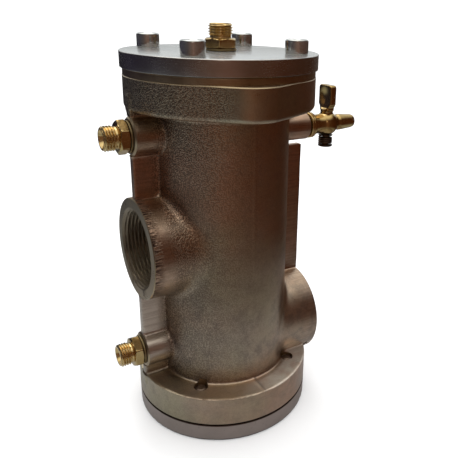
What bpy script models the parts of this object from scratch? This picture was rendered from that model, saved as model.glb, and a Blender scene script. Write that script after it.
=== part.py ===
"""Upright strainer housing with a bolted lid and bottom cover, a lift-out screen, three couplings and a cock.

Lengths below are in millimetres and are turned into metres where the meshes are made. +Z is up. The origin is
the centre of the bottom cover's lower face. The inlet port looks along -X and the outlet port along +X.
"""

import math

import bmesh
import bpy

MM = 0.001
GAP = 0.3  # clearance between two pieces that touch
OVERLAP = 3.0  # how far shapes that are joined reach into each other
PAST = 1.0  # how far a cutter runs past the face that it opens
SOFT_EDGE = 0.6  # small bevel on turned edges

# Heights of the main faces
COVER_TOP_Z = 10.9
BASE_FLANGE_TOP_Z = 30.0
TOP_FLANGE_BOTTOM_Z = 195.0
TOP_FLANGE_CAST_Z = 213.4
BODY_TOP_Z = 217.0
LID_TOP_Z = 226.0
BODY_BOTTOM_Z = COVER_TOP_Z + GAP
LID_BOTTOM_Z = BODY_TOP_Z + GAP

# Housing
TUBE_RADIUS = 40.5
BORE_RADIUS = 34.0
BASE_FLANGE_RADIUS = 55.4
BASE_FLANGE_EDGE = 1.5
FOOT_COVE = 2.0
TOP_FLANGE_RADIUS = 55.0
REGISTER_RADIUS = 54.7
LUG_RADIUS = 20.0
LUG_REACH = 42.5
LUG_ANGLE = math.radians(-98)
LUG_EDGE = 3.5
HEAD_COVE = 3.0
WEB_BOTTOM_Z = 73.0
WEB_TOP_Z = 82.0
WEB_HOLE_RADIUS = 24.0
RIB_THICKNESS = 5.1
INLET_RIB_X = -55.5
OUTLET_RIB_X = 57.0
OUTLET_RIB_TOP_Z = 166.6

# Ports, for G1 1/2 pipe thread
INLET_X = -56.0
INLET_Z = 115.0
OUTLET_X = 56.5
OUTLET_Z = 47.5
PORT_RADIUS = 30.3
PORT_MOUTH_RADIUS = 24.6
PORT_THREAD_RADIUS = 23.0
PORT_THREAD_LENGTH = 21.0
PORT_BORE_RADIUS = 20.5
PORT_BORE_END = 36.0
STUB_INNER_X = 22.0

# Bosses for the couplings and the cock
BOSS_RADIUS = 10.8
BOSS_FACE_X = -56.0
UPPER_BOSS_Z = 181.5
LOWER_BOSS_Z = 47.5
COCK_BOSS_RADIUS = 8.7
COCK_FACE_X = 60.5
BOSS_PASSAGE_RADIUS = 3.5
BOSS_PASSAGE_END = 30.0
COCK_PASSAGE_END = 32.0
COCK_Z = 178.0

# M8 screws
SCREW_CIRCLE_RADIUS = 44.0
SCREW_ANGLES = [math.radians(a) for a in (45, 135, 225, 315)]
SCREW_RADIUS = 4.0
SCREW_TAPPED_RADIUS = SCREW_RADIUS + GAP
SCREW_CLEARANCE_RADIUS = 4.5
SCREW_HEAD_RADIUS = 6.5
SCREW_HEAD_HEIGHT = 8.0
SCREW_HEAD_ROUND = 1.2
LID_SCREW_LENGTH = 25.0
LID_SCREW_HOLE_BOTTOM_Z = 199.0
BOTTOM_SCREW_HOLE_TOP_Z = 33.0
BOTTOM_SCREW_HEAD_RADIUS = 8.0
BOTTOM_SCREW_HEAD_Z = 0.3
SCREW_CHAMFER = 1.0
KEY_ACROSS_FLATS = 6.0
KEY_DEPTH = 4.0
BOTTOM_KEY_ACROSS_FLATS = 5.0
BOTTOM_KEY_DEPTH = 3.0

# Covers and their seals
LID_RADIUS = 56.0
LID_EDGE = 0.9
SPIGOT_RADIUS = BORE_RADIUS - GAP
SPIGOT_HEIGHT = 3.0
SEAL_RADIUS = 37.0
SEAL_SECTION_RADIUS = 1.1
SEAL_GROOVE_HALF = 1.4
SEAL_GROOVE_DEPTH = 2.2

# Couplings: G1/4 stud, 17 mm hexagon, M14x1.5 tube end
STUD_HOLE_RADIUS = 6.58
STUD_RADIUS = STUD_HOLE_RADIUS - GAP
STUD_LENGTH = 9.0
STUD_HOLE_DEPTH = 13.0
TUBE_END_RADIUS = 6.9
NIPPLE_HEX = 17.0
NIPPLE_HEX_START = 1.6
NIPPLE_HEX_END = 7.0
HEX_BEVEL = 0.8
NIPPLE_EDGE = 1.0
NIPPLE_NECK_LENGTH = 1.0
NIPPLE_CONE_DEPTH = 6.0
NIPPLE_LENGTH = 15.0
NIPPLE_NECK_RADIUS = 6.0
NIPPLE_BORE_RADIUS = 3.2
NIPPLE_MOUTH_RADIUS = 5.0
WASHER_RADIUS = 9.0
WASHER_HOLE_RADIUS = 6.7
WASHER_THICKNESS = 1.0

# Vent cock, G1/8
COCK_STUD_HOLE_RADIUS = 4.9
COCK_STUD_HOLE_DEPTH = 12.0
COCK_BALL_X = 78.4
COCK_BALL_RADIUS = 8.0
COCK_NOZZLE_X = 100.3
COCK_BORE_RADIUS = 1.6
COCK_STUD_LENGTH = 10.0
COCK_COLLAR_RADIUS = 8.4
COCK_COLLAR_START = 1.3
COCK_COLLAR_END = 5.4
COCK_NECK_RADIUS = 6.4
COCK_WAIST_RADIUS = 5.0
COCK_WAIST_END = 8.0  # from the ball's centre, as is the one below
COCK_SWELL_END = 9.6
COCK_SWELL_RADIUS = 5.5
COCK_NOZZLE_RADIUS = 4.6
COCK_NOZZLE_EDGE = 1.4
COCK_EDGE = 0.8
COCK_WASHER_RADIUS = 7.0
COCK_WASHER_THICKNESS = 0.7
PLUG_TOP_RADIUS = 4.2
PLUG_BOTTOM_RADIUS = 3.5
PLUG_HALF = 7.2
PLUG_SHOULDER_Z = 9.4  # from the ball's centre, as are the other heights on the plug
PLUG_TAB_TOP = 25.4
PLUG_TAB_FOOT = 8.8
PLUG_TAB_WIDTH = 13.4
PLUG_TAB_CORNER = 2.0
PLUG_TAB_THICKNESS = 4.6
PLUG_STEM_RADIUS = 2.2
PLUG_STEM_BOTTOM = -16.0
SPRING_RADIUS = 4.2
SPRING_WIRE_RADIUS = 0.6
SPRING_TOP = -8.9
SPRING_BOTTOM = -13.5
SPRING_TURNS = 3.5
SPRING_STEPS = 32
SPRING_WASHER_RADIUS = 4.8
SPRING_WASHER_TOP = -7.5
SPRING_WASHER_BOTTOM = -8.2
END_NUT_RADIUS = 4.8
END_NUT_TOP = -14.2
END_NUT_BOTTOM = -15.5

# Strainer element
CAGE_RADIUS = 25.0
CAGE_WALL = 0.8
CAGE_BOTTOM_Z = 85.8
CAGE_TOP_Z = 188.0
CAGE_COLUMNS = 8
CAGE_ROWS = 4
CAGE_STRIP = 5.0
MESH_WALL = 0.5
CAP_RADIUS = 26.6
CAP_BOTTOM_Z = 184.0
CAP_TOP_Z = 190.5
CAP_EDGE = 0.8
FOOT_RADIUS = 29.0
FOOT_BOTTOM_Z = 75.0
FOOT_RIM_Z = 90.0
FOOT_OPENING_RADIUS = 19.5
FOOT_SEAL_Z = 78.0
FOOT_SEAL_SECTION_RADIUS = 0.9
FOOT_SPIGOT_CLEARANCE = 0.4
FOOT_GROOVE_DEPTH = 1.9
FOOT_GROOVE_HALF = 1.2
BAIL_PIVOT_Z = 194.0
BAIL_WIRE_RADIUS = 1.25
BAIL_HALF_WIDTH = 18.0
BAIL_REACH = 14.0
BAIL_EAR_X = 13.5
BAIL_EAR_THICKNESS = 3.0
BAIL_EAR_HALF_WIDTH = 3.5
BAIL_EAR_HEIGHT = 3.0
BAIL_BEND = 2.5

# Sides of round shapes. SMALL and TINY are multiples of 6, so that hexagons keep their corners.
LARGE = 40
MEDIUM = 28
ELEMENT = 24
SMALL = 18
TINY = 12
SEAL_SECTION_SIDES = 6


def material(name, colour, roughness, metallic=1.0):
    """A Principled material of one colour."""
    made = bpy.data.materials.new(name)
    made.use_nodes = True
    shader = made.node_tree.nodes["Principled BSDF"]
    shader.inputs["Base Color"].default_value = (*colour, 1.0)
    shader.inputs["Roughness"].default_value = roughness
    shader.inputs["Metallic"].default_value = metallic
    return made


def finish_mesh(name, mesh_data, finish):
    """Closes off a bmesh, with outward faces and smooth shading, as a named object."""
    bmesh.ops.recalc_face_normals(mesh_data, faces=mesh_data.faces)
    mesh = bpy.data.meshes.new(name)
    mesh_data.to_mesh(mesh)
    mesh_data.free()
    mesh.shade_smooth()
    mesh.set_sharp_from_angle(angle=math.radians(30))
    mesh.materials.append(finish)
    obj = bpy.data.objects.new(name, mesh)
    bpy.context.scene.collection.objects.link(obj)
    return obj


def place(obj, at=(0, 0, 0), along="Z"):
    """Moves an object made along its own +Z to a point and turns that axis along -X, +X or +Z."""
    turns = {"Z": 0, "+X": math.pi / 2, "-X": -math.pi / 2}
    obj.location = [value * MM for value in at]
    obj.rotation_euler = (0, turns[along], 0)
    return obj


def point_radius(point, angle):
    """Radius of a profile point at an angle: round, or limited by a hexagon with corners at 0, 60, 120..."""
    if len(point) < 3:
        return point[0]
    from_flat = angle % math.radians(60) - math.radians(30)
    return min(point[0], point[2] / 2 / math.cos(from_flat))


def turned(name, profile, segments, finish):
    """A turned solid about Z. Profile points are (radius, height) or (radius, height, across flats).

    The profile is a closed ring, or starts and ends on the axis.
    """
    data = bmesh.new()
    rings = []
    for point in profile:
        if point[0] == 0:
            rings.append([data.verts.new((0, 0, point[1] * MM))])
            continue
        ring = []
        for step in range(segments):
            angle = 2 * math.pi * step / segments
            radius = point_radius(point, angle) * MM
            ring.append(data.verts.new((radius * math.cos(angle), radius * math.sin(angle), point[1] * MM)))
        rings.append(ring)
    on_axis = profile[0][0] == 0
    following = rings[1:] if on_axis else rings[1:] + rings[:1]
    for lower, upper in zip(rings, following):
        skin(data, lower, upper, segments)
    return finish_mesh(name, data, finish)


def skin(data, lower, upper, segments):
    """Faces between two rings, either of which may be a single point on the axis."""
    for step in range(segments):
        after = (step + 1) % segments
        if len(lower) == 1:
            data.faces.new((lower[0], upper[after], upper[step]))
        elif len(upper) == 1:
            data.faces.new((lower[step], lower[after], upper[0]))
        else:
            data.faces.new((lower[step], lower[after], upper[after], upper[step]))


def arc(centre, radius, start, end, steps):
    """Points on an arc in the profile plane. Angles are in degrees."""
    points = []
    for step in range(steps + 1):
        angle = math.radians(start + (end - start) * step / steps)
        points.append((centre[0] + radius * math.cos(angle), centre[1] + radius * math.sin(angle)))
    return points


def box(name, low, high, finish):
    """A block between two corners in millimetres."""
    data = bmesh.new()
    corners = [
        data.verts.new((x * MM, y * MM, z * MM))
        for z in (low[2], high[2])
        for x, y in ((low[0], low[1]), (high[0], low[1]), (high[0], high[1]), (low[0], high[1]))
    ]
    data.faces.new(corners[:4])
    data.faces.new(corners[4:])
    for step in range(4):
        after = (step + 1) % 4
        data.faces.new((corners[step], corners[after], corners[4 + after], corners[4 + step]))
    return finish_mesh(name, data, finish)


def ring_seal(name, radius, section_radius, height, finish):
    """An O-ring lying flat."""
    section = arc((radius, height), section_radius, 0, 360, SEAL_SECTION_SIDES)[:-1]
    return turned(name, section, ELEMENT, finish)


def helper(obj):
    """Marks an object as a tool for another one's shape."""
    obj.hide_render = True
    obj.display_type = "WIRE"
    return obj


def combine(target, others, operation):
    """Adds or cuts helper shapes to or from a target, all in one step."""
    group = bpy.data.collections.new(f"{target.name}_{operation.lower()}")
    bpy.context.scene.collection.children.link(group)
    group.hide_render = True
    for other in others:
        bpy.context.scene.collection.objects.unlink(other)
        group.objects.link(helper(other))
    modifier = target.modifiers.new(group.name, "BOOLEAN")
    modifier.operand_type = "COLLECTION"
    modifier.collection = group
    modifier.operation = operation
    modifier.solver = "EXACT"


def wire(name, points, radius, finish, sides):
    """A round wire with closed ends through points in millimetres."""
    curve = bpy.data.curves.new(name, "CURVE")
    curve.dimensions = "3D"
    curve.bevel_depth = radius * MM
    curve.bevel_resolution = sides // 2 - 2
    curve.use_fill_caps = True
    spline = curve.splines.new("POLY")
    spline.points.add(len(points) - 1)
    for target, point in zip(spline.points, points):
        target.co = (point[0] * MM, point[1] * MM, point[2] * MM, 1)
    curve.materials.append(finish)
    obj = bpy.data.objects.new(name, curve)
    bpy.context.scene.collection.objects.link(obj)
    return obj


def on_circle(angle, radius=SCREW_CIRCLE_RADIUS):
    """X and Y of a point on a circle about the main axis."""
    return radius * math.cos(angle), radius * math.sin(angle)


# Housing


def lugged_outline(inset):
    """Outline of the cast top flange: a circle with a rounded lug each side, moved in by an inset."""
    spread = math.acos((TOP_FLANGE_RADIUS - LUG_RADIUS) / LUG_REACH)
    outline = []
    for lug in (LUG_ANGLE, LUG_ANGLE + math.pi):
        centre = (LUG_REACH * math.cos(lug), LUG_REACH * math.sin(lug))
        stretches = (
            (centre, LUG_RADIUS - inset, lug - spread, lug + spread, 7),
            ((0, 0), TOP_FLANGE_RADIUS - inset, lug + spread, lug + math.pi - spread, 12),
        )
        for middle, radius, start, end, steps in stretches:
            for step in range(steps):
                angle = start + (end - start) * step / (steps - 1)
                outline.append((middle[0] + radius * math.cos(angle), middle[1] + radius * math.sin(angle)))
    return outline


def cast_flange(finish):
    """The cast part of the top flange, with a rounded lower edge."""
    data = bmesh.new()
    levels = [(LUG_EDGE - x, TOP_FLANGE_BOTTOM_Z + LUG_EDGE + z) for x, z in arc((0, 0), LUG_EDGE, -90, 0, 3)]
    levels += [(0, TOP_FLANGE_CAST_Z - SOFT_EDGE), (SOFT_EDGE, TOP_FLANGE_CAST_Z)]
    rings = []
    for inset, height in levels:
        rings.append([data.verts.new((x * MM, y * MM, height * MM)) for x, y in lugged_outline(inset)])
    for lower, upper in zip(rings, rings[1:]):
        skin(data, lower, upper, len(lower))
    data.faces.new(rings[0])
    data.faces.new(rings[-1])
    return finish_mesh("cast_flange_shape", data, finish)


def housing_outside():
    """Profile of the tube, the base flange and the turned register under the lid."""
    edge = BASE_FLANGE_EDGE
    top_edge = arc((BASE_FLANGE_RADIUS - edge, BASE_FLANGE_TOP_Z - edge), edge, 0, 90, 1)
    foot_cove = arc((TUBE_RADIUS + FOOT_COVE, BASE_FLANGE_TOP_Z + FOOT_COVE), FOOT_COVE, 270, 180, 1)
    head_cove = arc((TUBE_RADIUS + HEAD_COVE, TOP_FLANGE_BOTTOM_Z - HEAD_COVE), HEAD_COVE, 180, 90, 1)
    joined_z = TOP_FLANGE_BOTTOM_Z + OVERLAP
    return [
        (0, BODY_BOTTOM_Z),
        (BASE_FLANGE_RADIUS, BODY_BOTTOM_Z),
        *top_edge,
        *foot_cove,
        *head_cove,
        (TUBE_RADIUS + HEAD_COVE, joined_z),
        (REGISTER_RADIUS, joined_z),
        (REGISTER_RADIUS, BODY_TOP_Z),
        (0, BODY_TOP_Z),
    ]


def housing_inside():
    """Profile of the upper chamber, the hole in the web and the lower chamber."""
    return [
        (0, BODY_BOTTOM_Z - PAST),
        (BORE_RADIUS, BODY_BOTTOM_Z - PAST),
        (BORE_RADIUS, WEB_BOTTOM_Z),
        (WEB_HOLE_RADIUS, WEB_BOTTOM_Z),
        (WEB_HOLE_RADIUS, WEB_TOP_Z),
        (BORE_RADIUS, WEB_TOP_Z),
        (BORE_RADIUS, BODY_TOP_Z + PAST),
        (0, BODY_TOP_Z + PAST),
    ]


def port_hole():
    """Profile of a port's bore, from inside the chamber out past its face at height 0."""
    return [
        (0, -PORT_BORE_END),
        (PORT_BORE_RADIUS, -PORT_BORE_END),
        (PORT_BORE_RADIUS, -PORT_THREAD_LENGTH),
        (PORT_THREAD_RADIUS, -PORT_THREAD_LENGTH),
        (PORT_THREAD_RADIUS, PORT_THREAD_RADIUS - PORT_MOUTH_RADIUS),
        (PORT_MOUTH_RADIUS + PAST, PAST),
        (0, PAST),
    ]


def stepped_hole(radius, depth, passage_radius, passage_end):
    """Profile of a tapped hole with a narrower passage behind it, open past its face at height 0."""
    return [
        (0, -passage_end),
        (passage_radius, -passage_end),
        (passage_radius, -depth),
        (radius, -depth),
        (radius, PAST),
        (0, PAST),
    ]


def make_housing(finish):
    """The casting: tube, flanges, ports, bosses and ribs, with every bore and tapped hole."""
    housing = turned("housing", housing_outside(), LARGE, finish)
    inner = STUB_INNER_X
    rib_low = BASE_FLANGE_TOP_Z - OVERLAP
    added = [cast_flange(finish)]
    cut = [turned("chambers", housing_inside(), MEDIUM, finish)]
    stubs = (
        ("inlet_stub", PORT_RADIUS, INLET_X, INLET_Z, "-X", MEDIUM),
        ("outlet_stub", PORT_RADIUS, OUTLET_X, OUTLET_Z, "+X", MEDIUM),
        ("upper_boss", BOSS_RADIUS, BOSS_FACE_X, UPPER_BOSS_Z, "-X", SMALL),
        ("lower_boss", BOSS_RADIUS, BOSS_FACE_X, LOWER_BOSS_Z, "-X", SMALL),
        ("cock_boss", COCK_BOSS_RADIUS, COCK_FACE_X, COCK_Z, "+X", SMALL),
    )
    for name, radius, face_x, height, along, segments in stubs:
        length = abs(face_x) - inner
        profile = [(0, -length), (radius, -length), (radius, 0), (0, 0)]
        added.append(place(turned(name, profile, segments, finish), (face_x, 0, height), along))
    half = RIB_THICKNESS / 2
    ribs = (
        ("inlet_rib", (INLET_RIB_X, -half, rib_low), (-inner, half, TOP_FLANGE_BOTTOM_Z + OVERLAP)),
        ("outlet_rib", (inner, -half, OUTLET_Z), (OUTLET_RIB_X, half, OUTLET_RIB_TOP_Z)),
    )
    added += [box(name, low, high, finish) for name, low, high in ribs]
    boss_hole = stepped_hole(STUD_HOLE_RADIUS, STUD_HOLE_DEPTH, BOSS_PASSAGE_RADIUS, BOSS_PASSAGE_END)
    cock_hole = stepped_hole(COCK_STUD_HOLE_RADIUS, COCK_STUD_HOLE_DEPTH, COCK_BORE_RADIUS, COCK_PASSAGE_END)
    holes = (
        ("inlet_bore", port_hole(), INLET_X, INLET_Z, "-X", MEDIUM),
        ("outlet_bore", port_hole(), OUTLET_X, OUTLET_Z, "+X", MEDIUM),
        ("upper_boss_hole", boss_hole, BOSS_FACE_X, UPPER_BOSS_Z, "-X", SMALL),
        ("lower_boss_hole", boss_hole, BOSS_FACE_X, LOWER_BOSS_Z, "-X", SMALL),
        ("cock_boss_hole", cock_hole, COCK_FACE_X, COCK_Z, "+X", SMALL),
    )
    for name, profile, face_x, height, along, segments in holes:
        cut.append(place(turned(name, profile, segments, finish), (face_x, 0, height), along))
    for name, low, high in (
        ("lid_screw_hole", LID_SCREW_HOLE_BOTTOM_Z, BODY_TOP_Z + PAST),
        ("bottom_screw_hole", BODY_BOTTOM_Z - PAST, BOTTOM_SCREW_HOLE_TOP_Z),
    ):
        profile = [(0, low), (SCREW_TAPPED_RADIUS, low), (SCREW_TAPPED_RADIUS, high), (0, high)]
        cut += screw_holes(name, profile, finish)
    combine(housing, added, "UNION")
    combine(housing, cut, "DIFFERENCE")
    return housing


# Covers


def screw_holes(name, profile, finish):
    """One cutter at each screw's place."""
    return [
        place(turned(f"{name}_{number}", profile, TINY, finish), (*on_circle(angle), 0))
        for number, angle in enumerate(SCREW_ANGLES, 1)
    ]


def make_lid(finish):
    """The lid, with a spigot and a seal groove below and a tapped hole in the middle."""
    groove_top = LID_BOTTOM_Z + SEAL_GROOVE_DEPTH
    profile = [
        (STUD_HOLE_RADIUS, LID_BOTTOM_Z - SPIGOT_HEIGHT),
        (SPIGOT_RADIUS, LID_BOTTOM_Z - SPIGOT_HEIGHT),
        (SPIGOT_RADIUS, LID_BOTTOM_Z),
        (SEAL_RADIUS - SEAL_GROOVE_HALF, LID_BOTTOM_Z),
        (SEAL_RADIUS - SEAL_GROOVE_HALF, groove_top),
        (SEAL_RADIUS + SEAL_GROOVE_HALF, groove_top),
        (SEAL_RADIUS + SEAL_GROOVE_HALF, LID_BOTTOM_Z),
        (LID_RADIUS - LID_EDGE / 2, LID_BOTTOM_Z),
        (LID_RADIUS, LID_BOTTOM_Z + LID_EDGE / 2),
        *arc((LID_RADIUS - LID_EDGE, LID_TOP_Z - LID_EDGE), LID_EDGE, 0, 90, 2),
        (STUD_HOLE_RADIUS, LID_TOP_Z),
    ]
    lid = turned("lid", profile, LARGE, finish)
    low = LID_BOTTOM_Z - PAST
    high = LID_TOP_Z + PAST
    hole = [(0, low), (SCREW_CLEARANCE_RADIUS, low), (SCREW_CLEARANCE_RADIUS, high), (0, high)]
    combine(lid, screw_holes("lid_hole", hole, finish), "DIFFERENCE")
    return lid


def make_bottom_cover(finish):
    """The bottom cover, with a spigot and a seal groove above and four countersunk holes."""
    groove_bottom = BODY_BOTTOM_Z - SEAL_GROOVE_DEPTH - GAP
    profile = [
        (0, 0),
        (BASE_FLANGE_RADIUS - SOFT_EDGE, 0),
        (BASE_FLANGE_RADIUS, SOFT_EDGE),
        (BASE_FLANGE_RADIUS, COVER_TOP_Z - SOFT_EDGE),
        (BASE_FLANGE_RADIUS - SOFT_EDGE, COVER_TOP_Z),
        (SEAL_RADIUS + SEAL_GROOVE_HALF, COVER_TOP_Z),
        (SEAL_RADIUS + SEAL_GROOVE_HALF, groove_bottom),
        (SEAL_RADIUS - SEAL_GROOVE_HALF, groove_bottom),
        (SEAL_RADIUS - SEAL_GROOVE_HALF, COVER_TOP_Z),
        (SPIGOT_RADIUS, COVER_TOP_Z),
        (SPIGOT_RADIUS, COVER_TOP_Z + SPIGOT_HEIGHT),
        (0, COVER_TOP_Z + SPIGOT_HEIGHT),
    ]
    cover = turned("bottom_cover", profile, LARGE, finish)
    rim = BOTTOM_SCREW_HEAD_RADIUS + GAP
    shank = SCREW_CLEARANCE_RADIUS
    high = COVER_TOP_Z + PAST
    hole = [(0, -PAST), (rim, -PAST), (rim, GAP), (shank, GAP + rim - shank), (shank, high), (0, high)]
    combine(cover, screw_holes("cover_hole", hole, finish), "DIFFERENCE")
    return cover


def lid_screw(name, finish):
    """A socket head cap screw whose head stands on height 0."""
    tip = -LID_SCREW_LENGTH
    head = SCREW_HEAD_RADIUS
    socket_floor = SCREW_HEAD_HEIGHT - KEY_DEPTH
    profile = [
        (0, tip),
        (SCREW_RADIUS - SCREW_CHAMFER, tip),
        (SCREW_RADIUS, tip + SCREW_CHAMFER),
        (SCREW_RADIUS, 0),
        (head, 0),
        *arc((head - SCREW_HEAD_ROUND, SCREW_HEAD_HEIGHT - SCREW_HEAD_ROUND), SCREW_HEAD_ROUND, 0, 90, 2),
        (KEY_ACROSS_FLATS, SCREW_HEAD_HEIGHT, KEY_ACROSS_FLATS),
        (KEY_ACROSS_FLATS, socket_floor, KEY_ACROSS_FLATS),
        (0, socket_floor - 1),
    ]
    return turned(name, profile, TINY, finish)


def bottom_screw(name, finish):
    """A countersunk screw, head down, that ends level with the top of the base flange."""
    tip = BASE_FLANGE_TOP_Z - GAP
    head = BOTTOM_SCREW_HEAD_RADIUS
    low = BOTTOM_SCREW_HEAD_Z
    cone_top = low + head - SCREW_RADIUS
    key = BOTTOM_KEY_ACROSS_FLATS
    profile = [
        (0, low + BOTTOM_KEY_DEPTH),
        (key, low + BOTTOM_KEY_DEPTH, key),
        (key, low, key),
        (head - GAP, low),
        (head - GAP, low + GAP),
        (SCREW_RADIUS, cone_top),
        (SCREW_RADIUS, tip - SCREW_CHAMFER),
        (SCREW_RADIUS - SCREW_CHAMFER, tip),
        (0, tip),
    ]
    return turned(name, profile, TINY, finish)


# Couplings


def nipple(name, finish):
    """A pipe coupling standing on height 0, with a stud below it and a coned mouth at the top."""
    hexagon = NIPPLE_HEX
    corner = hexagon / math.sqrt(3)
    flat = hexagon / 2
    start = NIPPLE_HEX_START
    end = NIPPLE_HEX_END
    profile = [
        (NIPPLE_BORE_RADIUS, -STUD_LENGTH),
        (STUD_RADIUS - NIPPLE_EDGE, -STUD_LENGTH),
        (STUD_RADIUS, -STUD_LENGTH + NIPPLE_EDGE),
        (STUD_RADIUS, start),
        (flat, start, hexagon),
        (corner, start + HEX_BEVEL, hexagon),
        (corner, end - HEX_BEVEL, hexagon),
        (flat, end, hexagon),
        (NIPPLE_NECK_RADIUS, end),
        (NIPPLE_NECK_RADIUS, end + NIPPLE_NECK_LENGTH),
        (TUBE_END_RADIUS, end + NIPPLE_NECK_LENGTH + SOFT_EDGE),
        (TUBE_END_RADIUS, NIPPLE_LENGTH - NIPPLE_EDGE),
        (TUBE_END_RADIUS - NIPPLE_EDGE, NIPPLE_LENGTH),
        (NIPPLE_MOUTH_RADIUS, NIPPLE_LENGTH),
        (NIPPLE_BORE_RADIUS, NIPPLE_LENGTH - NIPPLE_CONE_DEPTH),
    ]
    return turned(name, profile, SMALL, finish)


def washer(name, hole_radius, radius, bottom, top, finish):
    """A flat ring."""
    profile = [(hole_radius, bottom), (radius, bottom), (radius, top), (hole_radius, top)]
    return turned(name, profile, TINY, finish)


# Vent cock


def make_cock_body(finish):
    """The cock's body, turned about its own Z with the boss face at height 0, then bored for its plug."""
    ball = COCK_BALL_X - COCK_FACE_X
    nozzle = COCK_NOZZLE_X - COCK_FACE_X
    stud = COCK_STUD_HOLE_RADIUS - GAP
    inner_start = math.degrees(math.acos(COCK_NECK_RADIUS / COCK_BALL_RADIUS))
    outer_end = math.degrees(math.acos(COCK_WAIST_RADIUS / COCK_BALL_RADIUS))
    profile = [
        (COCK_BORE_RADIUS, -COCK_STUD_LENGTH),
        (stud - COCK_EDGE, -COCK_STUD_LENGTH),
        (stud, -COCK_STUD_LENGTH + COCK_EDGE),
        (stud, COCK_COLLAR_START),
        (COCK_COLLAR_RADIUS - SOFT_EDGE, COCK_COLLAR_START),
        (COCK_COLLAR_RADIUS, COCK_COLLAR_START + SOFT_EDGE),
        (COCK_COLLAR_RADIUS, COCK_COLLAR_END - SOFT_EDGE),
        (COCK_COLLAR_RADIUS - SOFT_EDGE, COCK_COLLAR_END),
        (COCK_NECK_RADIUS, COCK_COLLAR_END),
        *arc((0, ball), COCK_BALL_RADIUS, -inner_start, outer_end, 6),
        (COCK_WAIST_RADIUS, ball + COCK_WAIST_END),
        (COCK_SWELL_RADIUS, ball + COCK_SWELL_END),
        (COCK_NOZZLE_RADIUS, nozzle - COCK_NOZZLE_EDGE),
        (COCK_NOZZLE_RADIUS - COCK_NOZZLE_EDGE, nozzle),
        (COCK_BORE_RADIUS, nozzle),
    ]
    body = place(turned("cock_body", profile, SMALL, finish), (COCK_FACE_X, 0, COCK_Z), "+X")
    reach = PLUG_HALF + PAST
    slope = (PLUG_TOP_RADIUS - PLUG_BOTTOM_RADIUS) / (2 * PLUG_HALF)
    middle = (PLUG_TOP_RADIUS + PLUG_BOTTOM_RADIUS) / 2 + GAP
    top = middle + slope * reach
    bottom = middle - slope * reach
    hole = [(0, -reach), (bottom, -reach), (top, reach), (0, reach)]
    combine(body, [place(turned("plug_hole", hole, SMALL, finish), (COCK_BALL_X, 0, COCK_Z))], "DIFFERENCE")
    return body


def make_cock_plug(finish):
    """The tapered plug with its thumb tab above and its spring stem below, its cross hole along the tab."""
    profile = [
        (0, PLUG_STEM_BOTTOM),
        (PLUG_STEM_RADIUS - SOFT_EDGE, PLUG_STEM_BOTTOM),
        (PLUG_STEM_RADIUS, PLUG_STEM_BOTTOM + SOFT_EDGE),
        (PLUG_STEM_RADIUS, -PLUG_HALF),
        (PLUG_BOTTOM_RADIUS, -PLUG_HALF),
        (PLUG_TOP_RADIUS, PLUG_HALF),
        (PLUG_TOP_RADIUS, PLUG_SHOULDER_Z),
        (0, PLUG_SHOULDER_Z),
    ]
    at = (COCK_BALL_X, 0, COCK_Z)
    plug = place(turned("cock_plug", profile, SMALL, finish), at)
    combine(plug, [place(thumb_tab(finish), at)], "UNION")
    reach = PLUG_TOP_RADIUS + PAST
    cross = [(0, -reach), (COCK_BORE_RADIUS, -reach), (COCK_BORE_RADIUS, reach), (0, reach)]
    hole = place(turned("cross_hole", cross, TINY, finish), at)
    hole.rotation_euler = (math.pi / 2, 0, 0)
    combine(plug, [hole], "DIFFERENCE")
    return plug


def thumb_tab(finish):
    """The upright tab: a plate across the flow with rounded upper corners."""
    half = PLUG_TAB_WIDTH / 2
    corner = PLUG_TAB_CORNER
    bevel = corner * (1 - math.cos(math.radians(45)))
    outline = [
        (-half, PLUG_TAB_FOOT),
        (half, PLUG_TAB_FOOT),
        (half, PLUG_TAB_TOP - corner),
        (half - bevel, PLUG_TAB_TOP - bevel),
        (half - corner, PLUG_TAB_TOP),
    ]
    outline += [(-y, z) for y, z in reversed(outline[2:])]
    data = bmesh.new()
    sides = []
    for x in (-PLUG_TAB_THICKNESS / 2, PLUG_TAB_THICKNESS / 2):
        sides.append([data.verts.new((x * MM, y * MM, z * MM)) for y, z in outline])
        data.faces.new(sides[-1])
    skin(data, sides[0], sides[1], len(outline))
    return finish_mesh("thumb_tab", data, finish)


def make_cock_spring(finish):
    """The coil spring under the cock."""
    points = []
    for step in range(SPRING_STEPS + 1):
        turn = 2 * math.pi * SPRING_TURNS * step / SPRING_STEPS
        height = SPRING_TOP + (SPRING_BOTTOM - SPRING_TOP) * step / SPRING_STEPS
        points.append((SPRING_RADIUS * math.cos(turn), SPRING_RADIUS * math.sin(turn), height))
    return place(wire("cock_spring", points, SPRING_WIRE_RADIUS, finish, 4), (COCK_BALL_X, 0, COCK_Z))


# Strainer element


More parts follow.
